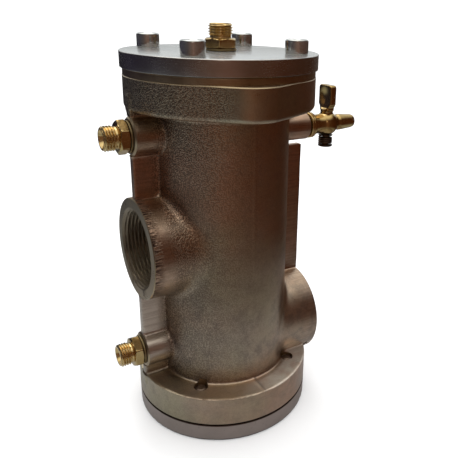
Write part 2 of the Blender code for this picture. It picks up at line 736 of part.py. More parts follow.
def make_cage(finish):
    """The perforated support tube, with columns and rows of windows."""
    data = bmesh.new()
    columns = CAGE_COLUMNS * 3
    rows = CAGE_ROWS * 2 + 1
    height = CAGE_TOP_Z - CAGE_BOTTOM_Z
    window = (height - CAGE_STRIP * (CAGE_ROWS + 1)) / CAGE_ROWS
    levels = [CAGE_BOTTOM_Z]
    for row in range(rows):
        levels.append(levels[-1] + (window if row % 2 else CAGE_STRIP))
    verts = {}
    for layer, radius in enumerate((CAGE_RADIUS - CAGE_WALL, CAGE_RADIUS)):
        for column in range(columns):
            angle = 2 * math.pi * column / columns
            for row, level in enumerate(levels):
                position = (radius * math.cos(angle) * MM, radius * math.sin(angle) * MM, level * MM)
                verts[layer, column, row] = data.verts.new(position)

    def solid(column, row):
        return 0 <= row < rows and not (row % 2 and column % 3)

    for column in range(columns):
        after = (column + 1) % columns
        for row in range(rows):
            if not solid(column, row):
                continue
            corners = ((column, row), (after, row), (after, row + 1), (column, row + 1))
            data.faces.new([verts[1, c, r] for c, r in corners])
            data.faces.new([verts[0, c, r] for c, r in reversed(corners)])
            neighbours = ((column, row - 1), (after, row), (column, row + 1), ((column - 1) % columns, row))
            for side, neighbour in enumerate(neighbours):
                if solid(*neighbour):
                    continue
                start = corners[side]
                end = corners[(side + 1) % 4]
                data.faces.new((verts[0, *start], verts[0, *end], verts[1, *end], verts[1, *start]))
    return finish_mesh("screen_cage", data, finish)


def make_screen_mesh(finish):
    """The fine screen inside the cage, as a thin tube."""
    outer = CAGE_RADIUS - CAGE_WALL - GAP
    inner = outer - MESH_WALL
    profile = [(inner, CAGE_BOTTOM_Z), (outer, CAGE_BOTTOM_Z), (outer, CAGE_TOP_Z), (inner, CAGE_TOP_Z)]
    return turned("screen_mesh", profile, ELEMENT, finish)


def make_screen_cap(finish):
    """The closed cap on the element, with a skirt round the cage and two ears for the bail."""
    skirt = CAGE_RADIUS + GAP
    profile = [
        (0, CAGE_TOP_Z + GAP),
        (skirt, CAGE_TOP_Z + GAP),
        (skirt, CAP_BOTTOM_Z),
        (CAP_RADIUS, CAP_BOTTOM_Z),
        (CAP_RADIUS, CAP_TOP_Z - CAP_EDGE),
        (CAP_RADIUS - CAP_EDGE, CAP_TOP_Z),
        (0, CAP_TOP_Z),
    ]
    cap = turned("screen_cap", profile, ELEMENT, finish)
    half = BAIL_EAR_THICKNESS / 2
    ears = []
    for side in (-1, 1):
        x = side * BAIL_EAR_X
        low = (x - half, -BAIL_EAR_HALF_WIDTH, CAP_TOP_Z - PAST)
        high = (x + half, BAIL_EAR_HALF_WIDTH, BAIL_PIVOT_Z + BAIL_EAR_HEIGHT)
        ears.append(box(f"ear_{side}", low, high, finish))
    combine(cap, ears, "UNION")
    radius = BAIL_WIRE_RADIUS + GAP
    reach = BAIL_HALF_WIDTH
    hole = [(0, -reach), (radius, -reach), (radius, reach), (0, reach)]
    combine(cap, [place(turned("ear_hole", hole, TINY, finish), (0, 0, BAIL_PIVOT_Z), "+X")], "DIFFERENCE")
    return cap


def make_screen_foot(finish):
    """The seat ring under the element: a rim round the cage, a flange on the web and a spigot through it."""
    seat = WEB_TOP_Z + GAP
    floor = CAGE_BOTTOM_Z - GAP
    spigot = WEB_HOLE_RADIUS - FOOT_SPIGOT_CLEARANCE
    groove = spigot - FOOT_GROOVE_DEPTH
    profile = [
        (FOOT_OPENING_RADIUS, FOOT_BOTTOM_Z),
        (spigot - SOFT_EDGE, FOOT_BOTTOM_Z),
        (spigot, FOOT_BOTTOM_Z + SOFT_EDGE),
        (spigot, FOOT_SEAL_Z - FOOT_GROOVE_HALF),
        (groove, FOOT_SEAL_Z - FOOT_GROOVE_HALF),
        (groove, FOOT_SEAL_Z + FOOT_GROOVE_HALF),
        (spigot, FOOT_SEAL_Z + FOOT_GROOVE_HALF),
        (spigot, seat),
        (FOOT_RADIUS, seat),
        (FOOT_RADIUS, floor - SOFT_EDGE),
        (FOOT_RADIUS - SOFT_EDGE, floor),
        (CAP_RADIUS, floor),
        (CAP_RADIUS, FOOT_RIM_Z),
        (CAGE_RADIUS + GAP, FOOT_RIM_Z),
        (CAGE_RADIUS + GAP, floor),
        (FOOT_OPENING_RADIUS, floor),
    ]
    return turned("screen_foot", profile, ELEMENT, finish)


def make_bail(finish):
    """The wire bail, lying flat towards +Y, with its ends in the cap's ears."""
    inner_end = BAIL_EAR_X - BAIL_EAR_THICKNESS
    bend = BAIL_BEND
    right = [(inner_end, 0), (BAIL_HALF_WIDTH - bend, 0)]
    right += arc((BAIL_HALF_WIDTH - bend, bend), bend, -60, 0, 3)
    right += arc((BAIL_HALF_WIDTH - bend, BAIL_REACH - bend), bend, 0, 90, 4)
    outline = right + [(-x, y) for x, y in reversed(right)]
    points = [(x, y, 0) for x, y in outline]
    return place(wire("bail_handle", points, BAIL_WIRE_RADIUS, finish, 6), (0, 0, BAIL_PIVOT_Z))


def build():
    for obj in list(bpy.data.objects):
        bpy.data.objects.remove(obj)
    bronze = material("bronze", (0.25, 0.19, 0.14), 0.42)
    machined = material("machined", (0.55, 0.54, 0.5), 0.35)
    steel = material("steel", (0.5, 0.5, 0.5), 0.3)
    brass = material("brass", (0.72, 0.5, 0.17), 0.28)
    zinc = material("zinc", (0.45, 0.45, 0.43), 0.45)
    rubber = material("rubber", (0.02, 0.02, 0.02), 0.7, 0.0)
    stainless = material("stainless", (0.6, 0.6, 0.6), 0.3)
    blackened = material("blackened", (0.03, 0.025, 0.02), 0.5)

    make_housing(bronze)
    make_lid(machined)
    make_bottom_cover(bronze)
    off_face = SEAL_SECTION_RADIUS + GAP / 2
    ring_seal("lid_o_ring", SEAL_RADIUS, SEAL_SECTION_RADIUS, BODY_TOP_Z + off_face, rubber)
    ring_seal("bottom_o_ring", SEAL_RADIUS, SEAL_SECTION_RADIUS, BODY_BOTTOM_Z - off_face, rubber)
    for number, angle in enumerate(SCREW_ANGLES, 1):
        place(lid_screw(f"lid_screw_{number}", steel), (*on_circle(angle), LID_TOP_Z + GAP))
        place(bottom_screw(f"bottom_screw_{number}", steel), (*on_circle(angle), 0))

    couplings = (
        ("top_nipple", (0, 0, LID_TOP_Z), "Z"),
        ("upper_nipple", (BOSS_FACE_X, 0, UPPER_BOSS_Z), "-X"),
        ("lower_nipple", (BOSS_FACE_X, 0, LOWER_BOSS_Z), "-X"),
    )
    for name, at, along in couplings:
        place(nipple(name, brass), at, along)
        ring = washer(f"{name}_washer", WASHER_HOLE_RADIUS, WASHER_RADIUS, GAP, GAP + WASHER_THICKNESS, zinc)
        place(ring, at, along)

    make_cock_body(brass)
    hole = COCK_STUD_HOLE_RADIUS
    top = GAP + COCK_WASHER_THICKNESS
    cock_ring = washer("cock_seal_washer", hole, COCK_WASHER_RADIUS, GAP, top, zinc)
    place(cock_ring, (COCK_FACE_X, 0, COCK_Z), "+X")
    make_cock_plug(brass)
    make_cock_spring(blackened)
    axis_point = (COCK_BALL_X, 0, COCK_Z)
    hole = PLUG_STEM_RADIUS + GAP
    for name, radius, bottom, top in (
        ("cock_spring_washer", SPRING_WASHER_RADIUS, SPRING_WASHER_BOTTOM, SPRING_WASHER_TOP),
        ("cock_end_nut", END_NUT_RADIUS, END_NUT_BOTTOM, END_NUT_TOP),
    ):
        place(washer(name, hole, radius, bottom, top, blackened), axis_point)

    make_cage(stainless)
    make_screen_mesh(stainless)
    make_screen_cap(brass)
    make_screen_foot(brass)
    seal_radius = WEB_HOLE_RADIUS - FOOT_SPIGOT_CLEARANCE / 2 - FOOT_SEAL_SECTION_RADIUS
    ring_seal("screen_foot_o_ring", seal_radius, FOOT_SEAL_SECTION_RADIUS, FOOT_SEAL_Z, rubber)
    make_bail(stainless)


build()
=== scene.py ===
"""Looks of an upright strainer: a bronze casting with turned covers, couplings, a vent cock and a screen.

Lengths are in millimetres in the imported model's frame, and become metres where meshes are made.
"""

import math

import bmesh
import bpy
import numpy as np
from mathutils import Matrix, Vector, noise


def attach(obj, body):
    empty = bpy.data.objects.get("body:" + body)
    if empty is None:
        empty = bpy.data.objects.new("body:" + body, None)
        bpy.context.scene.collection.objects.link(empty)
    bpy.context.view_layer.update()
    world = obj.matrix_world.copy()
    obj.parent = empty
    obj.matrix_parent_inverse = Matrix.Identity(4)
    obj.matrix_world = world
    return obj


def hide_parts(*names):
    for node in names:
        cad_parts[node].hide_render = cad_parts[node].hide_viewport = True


MM = 0.001
TURN = 2 * math.pi

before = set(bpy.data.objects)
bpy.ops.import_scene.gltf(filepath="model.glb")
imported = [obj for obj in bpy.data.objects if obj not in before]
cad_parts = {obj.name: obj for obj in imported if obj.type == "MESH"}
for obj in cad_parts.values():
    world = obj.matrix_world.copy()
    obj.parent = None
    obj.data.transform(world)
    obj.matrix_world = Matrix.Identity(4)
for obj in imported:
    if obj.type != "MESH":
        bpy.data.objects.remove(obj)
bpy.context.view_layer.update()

# Dimensions that the CAD model and these pieces share
COVER_TOP_Z = 10.9
BODY_BOTTOM_Z = 11.2
BASE_FLANGE_TOP_Z = 30.0
TOP_FLANGE_BOTTOM_Z = 195.0
TOP_FLANGE_CAST_Z = 213.4
BODY_TOP_Z = 217.0
LID_BOTTOM_Z = 217.3
LID_TOP_Z = 226.0
TUBE_RADIUS = 40.5
BORE_RADIUS = 34.0
BASE_FLANGE_RADIUS = 55.4
TOP_FLANGE_RADIUS = 55.0
REGISTER_RADIUS = 54.7
LUG_RADIUS = 20.0
LUG_REACH = 42.5
LUG_ANGLE = math.radians(-98)
LUG_EDGE = 2.4
WEB_BOTTOM_Z = 73.0
WEB_TOP_Z = 82.0
WEB_HOLE_RADIUS = 24.0
RIB_HALF = 2.55
INLET_RIB_X = -55.5
OUTLET_RIB_X = 57.0
OUTLET_RIB_TOP_Z = 166.6
INLET_X = -56.0
INLET_Z = 115.0
OUTLET_X = 56.5
OUTLET_Z = 47.5
PORT_RADIUS = 30.3
PORT_CREST = 22.42
PORT_ROOT = 23.6
PORT_PITCH = 2.309
BOSS_RADIUS = 10.8
UPPER_BOSS_Z = 181.5
LOWER_BOSS_Z = 47.5
COCK_BOSS_RADIUS = 8.7
COCK_FACE_X = 60.5
COCK_Z = 178.0
COCK_BALL_X = 78.4
COCK_NOZZLE_X = 100.3
COCK_BORE_RADIUS = 1.6
SCREW_CIRCLE = 44.0
SCREW_ANGLES = [math.radians(a) for a in (45, 135, 225, 315)]
LID_RADIUS = 56.0
SEAL_RADIUS = 37.0
CAGE_RADIUS = 25.0
CAGE_BOTTOM_Z = 85.8
CAGE_TOP_Z = 188.0
BAIL_PIVOT_Z = 194.0
UPPER_BOSS = (INLET_X, 0, UPPER_BOSS_Z)
LOWER_BOSS = (INLET_X, 0, LOWER_BOSS_Z)
COCK_FACE = (COCK_FACE_X, 0, COCK_Z)

# Directions on the ground, as seen from the front: to the right, and toward the viewer
RIGHT = (0.891, -0.454, 0)
FRONT = (-0.454, -0.891, 0)


# Mesh making


def outline(points, closed, steps=4):
    """Profile points with their corners rounded.

    A point is a radius, a height, a fillet and what shapes its ring. The last two can be left out.
    """
    points = [(*point, *(0.0, None)[len(point) - 2 :]) for point in points]
    made = []
    count = len(points)
    for i, (r, z, fillet, shape) in enumerate(points):
        ends = not closed and i in (0, count - 1)
        if fillet == 0 or ends:
            made.append((r, z, shape))
            continue
        here = Vector((r, z))
        before = Vector(points[i - 1][:2]) - here
        after = Vector(points[(i + 1) % count][:2]) - here
        half = before.angle(after) / 2
        reach = min(fillet / math.tan(half), before.length * 0.49, after.length * 0.49)
        start = here + before.normalized() * reach
        end = here + after.normalized() * reach
        for k in range(steps + 1):
            t = k / steps
            p = start * (1 - t) ** 2 + here * (2 * t * (1 - t)) + end * t**2
            made.append((p.x, p.y, shape))
    return made


def ring_radii(r, z, shape, angles):
    """Radius of a ring at each angle: round, hexagonal or threaded."""
    if shape is None:
        return np.full(len(angles), r)
    if shape[0] == "hex":
        return np.minimum(r, shape[1] / 2 / np.cos(angles % (TURN / 6) - TURN / 12))
    pitch, crest, root = shape[1:]
    phase = (z / pitch - angles / TURN) % 1
    tooth = np.clip((0.44 - np.abs(phase - 0.5)) / 0.32, 0, 1)
    flank = root + (crest - root) * tooth
    return np.minimum(r, flank) if crest > root else np.maximum(r, flank)


def thread(limit, start, end, pitch, crest, root, per_turn=10):
    """Rings of a screw thread between two heights, kept within a limit that depends on height."""
    count = max(2, round(abs(end - start) / pitch * per_turn))
    heights = [start + (end - start) * i / count for i in range(count + 1)]
    return [(limit(z), z, 0, ("thread", pitch, crest, root)) for z in heights]


def hexagon(across, start, end, cap_start=0.94, cap_end=0.94):
    """Rings of a hexagon whose corners are chamfered at both ends."""
    corner = across / math.sqrt(3) * 0.985
    rings = []
    for z, low, up in ((start, cap_start, 1), (end, cap_end, -1)):
        inner = across / 2 * low
        rise = (corner - inner) * 0.5
        shares = (0, 0.3, 0.5, 0.7, 0.85, 1)
        part = [(inner + (corner - inner) * t, z + up * rise * t, 0, ("hex", across)) for t in shares]
        rings += part if up > 0 else part[::-1]
    return rings


def hex_angles(base=48):
    """Angles of a ring with extra points beside the corners of a hexagon."""
    found = {round(360 * i / base, 4) for i in range(base)}
    for corner in range(0, 360, 60):
        found |= {(corner + d) % 360 for d in (-3.2, -1.6, -0.6, 0.6, 1.6, 3.2)}
    return np.radians(sorted(found))


def mesh_object(name, verts, faces, materials, sharp=32.0, index=0):
    """A named object from vertices in millimetres."""
    mesh = bpy.data.meshes.new(name)
    mesh.from_pydata((np.asarray(verts) * MM).tolist(), [], faces)
    for item in materials:
        mesh.materials.append(item)
    if index:
        mesh.polygons.foreach_set("material_index", [index] * len(mesh.polygons))
    mesh.shade_smooth()
    mesh.set_sharp_from_angle(angle=math.radians(sharp))
    mesh.update()
    obj = bpy.data.objects.new(name, mesh)
    bpy.context.scene.collection.objects.link(obj)
    return obj


def bridge(low, high):
    """Faces between two rings of vertices."""
    following = [(i, (i + 1) % len(low)) for i in range(len(low))]
    return [[low[i], low[j], high[j], high[i]] for i, j in following]


def revolve(name, points, materials, angles=96, index=0, sharp=32.0, steps=4):
    """A turned solid about Z. Its profile is closed, or starts and ends on the axis."""
    on_axis = points[0][0] == 0
    points = outline(points, not on_axis, steps)
    if isinstance(angles, int):
        angles = np.arange(angles) * TURN / angles
    sides = len(angles)
    verts = []
    rings = []
    for r, z, shape in points:
        start = len(verts)
        if r == 0:
            verts.append((0.0, 0.0, z))
            rings.append([start] * sides)
            continue
        radii = ring_radii(r, z, shape, angles)
        verts += zip(radii * np.cos(angles), radii * np.sin(angles), [z] * sides)
        rings.append(list(range(start, start + sides)))
    faces = []
    following = rings[1:] if on_axis else rings[1:] + rings[:1]
    for low, high in zip(rings, following):
        corners = [list(dict.fromkeys(face)) for face in bridge(low, high)]
        faces += [face for face in corners if len(face) > 2]
    obj = mesh_object(name, verts, faces, materials, sharp, index)
    outward(obj)
    return obj


def outward(obj):
    """Turns every face outward."""
    data = bmesh.new()
    data.from_mesh(obj.data)
    bmesh.ops.recalc_face_normals(data, faces=data.faces)
    data.to_mesh(obj.data)
    data.free()


def rod(name, radius, low, high, materials, sides, index=0):
    """A cylinder about Z between two heights."""
    points = [(0, low), (radius, low), (radius, high), (0, high)]
    return revolve(name, points, materials, sides, index)


def washer(name, inner, outer, low, high, fillets, finish, at, along="Z", sides=48):
    """A washer between two heights, with fillets at its hole and its rim."""
    hole, rim = fillets
    points = [(inner, low, hole), (outer, low, rim), (outer, high, rim), (inner, high, hole)]
    return place(revolve(name, points, [finish], sides), at, along)


def place(obj, at=(0, 0, 0), along="Z", spin=0.0):
    """Puts an object at a point in millimetres, with its own +Z turned along -X, +X or +Z."""
    tilt = {"Z": 0, "+X": math.pi / 2, "-X": -math.pi / 2}[along]
    obj.matrix_world = (
        Matrix.Translation(Vector(at) * MM) @ Matrix.Rotation(tilt, 4, "Y") @ Matrix.Rotation(spin, 4, "Z")
    )
    return obj


def carve(target, others, operation="DIFFERENCE"):
    """Cuts shapes from a target, or adds them, and keeps the result as its mesh."""
    for other in others:
        modifier = target.modifiers.new(other.name, "BOOLEAN")
        modifier.object = other
        modifier.operation = operation
        modifier.solver = "MANIFOLD"
    settle(target)
    for other in others:
        bpy.data.objects.remove(other)
    return target


def settle(obj, sharp=32.0):
    """Applies an object's modifiers."""
    bpy.context.view_layer.update()
    graph = bpy.context.evaluated_depsgraph_get()
    mesh = bpy.data.meshes.new_from_object(obj.evaluated_get(graph))
    mesh.shade_smooth()
    mesh.set_sharp_from_angle(angle=math.radians(sharp))
    obj.modifiers.clear()
    obj.data = mesh
    return obj


def on_circle(angle, radius=SCREW_CIRCLE):
    """X and Y of a point on a circle about the main axis."""
    return radius * math.cos(angle), radius * math.sin(angle)


def stand_for(obj, body, slot, *nodes):
    """Puts a piece on its body in place of CAD nodes."""
    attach(obj, body)
    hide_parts(*nodes)
    return obj


# Distance fields, for cast and forged shapes


def blend_min(a, b, k):
    """The union of two distance fields with a fillet of about k."""
    h = np.maximum(k - np.abs(a - b), 0) / k
    return np.minimum(a, b) - h * h * k / 4


def rounded_edge(side, top, edge):
    """The part inside both fields, with the edge between them rounded."""
    a = side + edge
    b = top + edge
    return np.hypot(np.maximum(a, 0), np.maximum(b, 0)) + np.minimum(np.maximum(a, b), 0) - edge


def rounded_box(offsets, edge):
    """A box from the distances past its three pairs of faces, with rounded edges."""
    moved = [o + edge for o in offsets]
    outside = np.sqrt(sum(np.maximum(m, 0) ** 2 for m in moved))
    inside = np.minimum(np.maximum(np.maximum(moved[0], moved[1]), moved[2]), 0)
    return outside + inside - edge


def tapered_hull(x, y, first, second, reach):
    """Distance to the hull of two circles, one about the origin and one further along +Y."""
    x = np.abs(x)
    b = (first - second) / reach
    a = math.sqrt(1 - b * b)
    k = y * a - x * b
    along = x * a + y * b - first
    beyond = np.where(k > a * reach, np.hypot(x, y - reach) - second, along)
    return np.where(k < 0, np.hypot(x, y) - first, beyond)


def grid(low, high, step, kind=float):
    """X, Y and Z of a grid, shaped so that together they spread over it."""
    axes = [np.arange(a, b, step, dtype=kind) for a, b in zip(low, high)]
    return np.meshgrid(*axes, indexing="ij", sparse=True)


def surface(name, field, low, step, materials, sharp=50.0):
    """The zero surface of a distance field on a grid, as a smooth closed mesh."""
    shape = np.array(field.shape)
    corners = np.array([(i, j, k) for i in (0, 1) for j in (0, 1) for k in (0, 1)])
    inside = field < 0
    cells = tuple(shape - 1)
    total = np.zeros(cells, np.uint8)
    for i, j, k in corners:
        total += inside[i : i + cells[0], j : j + cells[1], k : k + cells[2]]
    active = np.argwhere((total > 0) & (total < 8))
    number = np.full(cells, -1, np.int64)
    number[tuple(active.T)] = np.arange(len(active))
    value = np.stack([field[tuple((active + c).T)] for c in corners], 1)
    sums = np.zeros((len(active), 3))
    hits = np.zeros(len(active))
    for a in range(8):
        for b in range(a + 1, 8):
            if np.abs(corners[a] - corners[b]).sum() != 1:
                continue
            crossed = (value[:, a] < 0) != (value[:, b] < 0)
            t = value[crossed, a] / (value[crossed, a] - value[crossed, b])
            sums[crossed] += corners[a] + t[:, None] * (corners[b] - corners[a])
            hits[crossed] += 1
    points = active + sums / hits[:, None]
    quads = []
    for axis in range(3):
        ahead = [slice(None)] * 3
        behind = [slice(None)] * 3
        ahead[axis] = slice(1, None)
        behind[axis] = slice(None, -1)
        changed = inside[tuple(behind)] != inside[tuple(ahead)]
        at = np.argwhere(changed)
        u, v = [(1, 2), (2, 0), (0, 1)][axis]
        ring = []
        for du, dv in ((1, 1), (0, 1), (0, 0), (1, 0)):
            cell = at.copy()
            cell[:, u] -= du
            cell[:, v] -= dv
            ring.append(number[tuple(cell.T)])
        quad = np.stack(ring, 1)
        flip = ~inside[tuple(at.T)]
        quad[flip] = quad[flip][:, ::-1]
        quads.append(quad)
    faces = np.concatenate(quads)
    points = relax(points, faces, field)
    return mesh_object(name, points * step + np.array(low), faces.tolist(), materials, sharp)


def sample(field, points):
    """A field's value between grid points."""
    whole = np.floor(points).astype(int)
    whole = np.clip(whole, 0, np.array(field.shape) - 2)
    part = points - whole
    found = 0
    for i in (0, 1):
        for j in (0, 1):
            for k in (0, 1):
                weight = np.abs(1 - i - part[:, 0]) * np.abs(1 - j - part[:, 1]) * np.abs(1 - k - part[:, 2])
                found = found + weight * field[whole[:, 0] + i, whole[:, 1] + j, whole[:, 2] + k]
    return found


def relax(points, faces, field):
    """Evens out a mesh and puts its points back on the surface."""
    near = np.eye(3) * 0.5
    for _ in range(2):
        total = np.zeros_like(points)
        count = np.zeros(len(points))
        for a in range(4):
            b = faces[:, (a + 1) % 4]
            np.add.at(total, faces[:, a], points[b])
            np.add.at(count, faces[:, a], 1)
        points = total / count[:, None]
        for _again in range(2):
            gradient = np.stack([sample(field, points + e) - sample(field, points - e) for e in near], 1)
            size = np.maximum((gradient**2).sum(1), 1e-6)
            points = points - gradient * (sample(field, points) / size)[:, None]
    return points


# Material making


class Tree:
    """A node tree, with its nodes made one at a time."""

    def __init__(self, owner):
        owner.use_nodes = True
        self.nodes = owner.node_tree.nodes
        self.links = owner.node_tree.links

    def add(self, kind, inputs=None, **settings):
        node = self.nodes.new(kind)
        for key, value in settings.items():
            setattr(node, key, value)
        self.fill(node, inputs or {})
        return node

    def fill(self, node, inputs):
        for key, value in inputs.items():
            if isinstance(value, bpy.types.NodeSocket):
                self.links.new(value, node.inputs[key])
            else:
                node.inputs[key].default_value = value

    def span(self, value, low, high, out_low=0.0, out_high=1.0, kind="LINEAR"):
        inputs = {0: value, 1: low, 2: high, 3: out_low, 4: out_high}
        return self.add("ShaderNodeMapRange", inputs, interpolation_type=kind).outputs[0]

    def math(self, operation, a, b=0.0):
        return self.add("ShaderNodeMath", {0: a, 1: b}, operation=operation).outputs[0]

    def times(self, a, b):
        return self.math("MULTIPLY", a, b)

    def mix(self, factor, a, b):
        inputs = {0: factor, 6: a, 7: b}
        return self.add("ShaderNodeMix", inputs, data_type="RGBA").outputs[2]

    def along(self, vector, direction):
        """How far a vector goes in a direction."""
        product = self.add("ShaderNodeVectorMath", {0: vector, 1: direction}, operation="DOT_PRODUCT")
        return product.outputs["Value"]


class Finish(Tree):
    """A material."""

    def __init__(self, name):
        self.material = bpy.data.materials.new(name)
        super().__init__(self.material)
        self.shader = self.nodes["Principled BSDF"]
        self.place = self.add("ShaderNodeTexCoord").outputs["Object"]

    def noise(self, scale, detail=2.0, roughness=0.5, vector=None):
        inputs = {"Vector": vector or self.place, "Scale": scale, "Detail": detail, "Roughness": roughness}
        return self.add("ShaderNodeTexNoise", inputs).outputs["Fac"]

    def attribute(self, name):
        return self.add("ShaderNodeAttribute", attribute_name=name).outputs["Fac"]

    def stretched(self, x, y, z):
        return self.add("ShaderNodeMapping", {"Vector": self.place, "Scale": (x, y, z)}).outputs["Vector"]

    def turned(self):
        """Coordinates that change with radius and height only, for the marks of a lathe tool."""
        flat = self.add("ShaderNodeVectorMath", {0: self.place, 1: (1, 1, 0)}, operation="MULTIPLY")
        parts = {0: self.length(flat.outputs[0]), 2: self.height()}
        return self.add("ShaderNodeCombineXYZ", parts).outputs[0]

    def length(self, vector):
        return self.add("ShaderNodeVectorMath", {0: vector}, operation="LENGTH").outputs["Value"]

    def height(self):
        return self.add("ShaderNodeSeparateXYZ", {0: self.place}).outputs["Z"]

    def bump(self, height, strength, distance, normal=None):
        inputs = {"Height": height, "Strength": strength, "Distance": distance}
        if normal is not None:
            inputs["Normal"] = normal
        return self.add("ShaderNodeBump", inputs).outputs["Normal"]

    def finish(self, **inputs):
        self.fill(self.shader, {key.replace("_", " "): value for key, value in inputs.items()})
        return self.material


def rgb(r, g, b):
    return (r, g, b, 1.0)


def cast_bronze():
    tree = Finish("cast_bronze")
    clouds = tree.noise(13, 3, 0.55)
    patches = tree.noise(31, 4, 0.6)
    mottle = tree.noise(130, 6, 0.7)
    fine = tree.noise(900, 3, 0.6)
    lit_rim = tree.attribute("lit_rim")
    peel = tree.attribute("peel")
    streak = tree.attribute("streak")
    stain = tree.attribute("stain")
    strokes = tree.noise(1, 4, 0.65, tree.stretched(60, 900, 900))
    base = tree.mix(tree.span(clouds, 0.38, 0.62), rgb(0.50, 0.42, 0.27), rgb(0.60, 0.37, 0.25))
    base = tree.mix(tree.span(patches, 0.45, 0.7, 0, 0.6), base, rgb(0.56, 0.45, 0.34))
    base = tree.mix(tree.span(mottle, 0.5, 0.75, 0, 0.45), base, rgb(0.30, 0.22, 0.16))
    dirt = tree.times(tree.span(tree.noise(120, 8, 0.8), 0.47, 0.60), stain)
    base = tree.mix(dirt, base, rgb(0.17, 0.13, 0.10))
    base = tree.mix(tree.span(fine, 0.58, 0.75, 0, 0.35), base, rgb(0.22, 0.16, 0.11))
    # Paler and greyer towards the bottom, following the stain mask
    base = tree.mix(tree.times(stain, 0.6), base, rgb(0.47, 0.41, 0.35))
    # Painted highlight: the base flange's top rim is made paler, more so to the right
    rim_highlight = tree.times(lit_rim, tree.span(mottle, 0.35, 0.65, 0.35, 1.0))
    base = tree.mix(rim_highlight, base, rgb(0.74, 0.68, 0.58))
    domes = tree.span(tree.noise(1450, 0.4, 0.5), 0.42, 0.62)
    # Painted shade: the hollows between the domes of the orange peel are darkened, more where the grain mask
    # is strong
    dimple_shade = tree.times(tree.math("SUBTRACT", 1.0, domes), peel)
    base = tree.mix(tree.times(dimple_shade, 0.8), base, rgb(0.10, 0.075, 0.06))
    # Painted floor light: low on the inlet rib the casting is made paler, as if lit from the floor on the
    # left
    base = tree.mix(tree.attribute("pale"), base, rgb(0.70, 0.60, 0.50))
    rubbed = tree.times(tree.span(strokes, 0.42, 0.62, 0, 0.4), streak)
    base = tree.mix(rubbed, base, rgb(0.27, 0.17, 0.11))
    nicks = tree.span(tree.noise(1, 2, 0.6, tree.stretched(180, 1250, 1250)), 0.47, 0.56, 0, 0.9)
    burr = tree.times(nicks, tree.attribute("burr"))
    base = tree.mix(burr, base, rgb(0.05, 0.035, 0.03))
    rough = tree.span(mottle, 0.3, 0.7, 0.27, 0.38)
    normal = tree.bump(domes, peel, 0.00014)
    normal = tree.bump(strokes, streak, 0.00005, normal)
    normal = tree.bump(tree.attribute("seam"), 1.0, 0.0004, normal)
    normal = tree.bump(tree.times(burr, -1.0), 0.8, 0.0004, normal)
    # The painted rim highlight is also made less metallic, and the stain mask a little
    matte_share = tree.math("ADD", tree.times(lit_rim, 0.2), tree.times(stain, 0.03))
    metallic = tree.math("SUBTRACT", 1.0, matte_share)
    return tree.finish(Base_Color=base, Roughness=rough, Normal=normal, Metallic=metallic)


def turned_metal(name, dark, light, rough, depth=20, strength=0.35, metallic=1.0, face=0, foot=0, brim=0):
    """A lathe-turned metal. Its relief is given in micrometres, and its roughness as a low and a high value.

    Above the height face it is duller; below foot it has a painted shadow where it stands or meets another
    part, and just under brim a painted shade line at its joint.
    """
    tree = Finish(name)
    height = tree.height()
    rings = tree.noise(2600, 3, 0.6, tree.turned())
    clouds = tree.noise(60, 5, 0.6)
    spots = tree.noise(500, 3, 0.55)
    base = tree.mix(tree.span(clouds, 0.35, 0.65), rgb(*dark), rgb(*light))
    base = tree.mix(tree.span(spots, 0.6, 0.75, 0, 0.35), base, rgb(*[c * 0.55 for c in dark]))
    rough = tree.span(tree.math("ADD", clouds, tree.times(rings, 0.5)), 0.5, 1.0, *rough)
    normal = tree.bump(rings, strength, depth * 1e-6)
    if face:
        flat = tree.span(height, (face - 0.15) * MM, (face - 0.03) * MM)
        base = tree.mix(flat, base, tree.mix(rings, rgb(0.42, 0.42, 0.40), rgb(0.58, 0.58, 0.56)))
        metallic = tree.span(flat, 0, 1, metallic, 0.74)
    if foot:
        # Painted shadow below the foot height
        base = tree.mix(tree.span(height, (foot - 0.5) * MM, foot * MM), rgb(0.05, 0.032, 0.03), base)
    # Painted shade just under the brim, at the joint
    if brim:
        under = tree.span(height, (brim - 0.6) * MM, (brim - 0.3) * MM)
        base = tree.mix(under, base, rgb(0.07, 0.045, 0.035))
    return tree.finish(Base_Color=base, Roughness=rough, Normal=normal, Metallic=metallic)


def rubber_material():
    tree = Finish("rubber")
    grain = tree.noise(900, 3, 0.6)
    base = tree.mix(grain, rgb(0.012, 0.012, 0.013), rgb(0.03, 0.03, 0.032))
    rough = tree.span(grain, 0.3, 0.7, 0.5, 0.7)
    return tree.finish(Base_Color=base, Roughness=rough, Normal=tree.bump(grain, 0.2, 0.00005))


def woven_material():
    """Fine woven wire: two sets of wires crossing over and under, with painted shade in the openings."""
    tree = Finish("woven_wire")
    split = tree.add("ShaderNodeSeparateXYZ", {0: tree.place})
    around = tree.times(tree.math("ARCTAN2", split.outputs["Y"], split.outputs["X"]), 75.0)
    up = tree.times(split.outputs["Z"], TURN / 0.002)
    upright = tree.math("ABSOLUTE", tree.math("SINE", around))
    level = tree.math("ABSOLUTE", tree.math("SINE", tree.times(up, 0.5)))
    height = tree.math("MAXIMUM", upright, level)
    # Painted shade: the openings between the wires are near black
    base = tree.mix(tree.span(height, 0.62, 0.8), rgb(0.02, 0.02, 0.02), rgb(0.52, 0.52, 0.50))
    rough = tree.span(tree.noise(300, 3), 0.3, 0.7, 0.28, 0.42)
    return tree.finish(Base_Color=base, Roughness=rough, Normal=tree.bump(height, 0.8, 0.0002), Metallic=1.0)


bronze = cast_bronze()
# The cut bronze carries a painted shade on its underside next to the cover joint
bronze_cut = turned_metal(
    "cut_bronze", (0.40, 0.30, 0.18), (0.50, 0.38, 0.24), (0.26, 0.4), strength=0.4, foot=BODY_BOTTOM_Z + 1.2
)
bore_bronze = turned_metal(
    "bore_bronze", (0.24, 0.19, 0.13), (0.36, 0.29, 0.20), (0.34, 0.5), strength=0.4, metallic=0.95
)
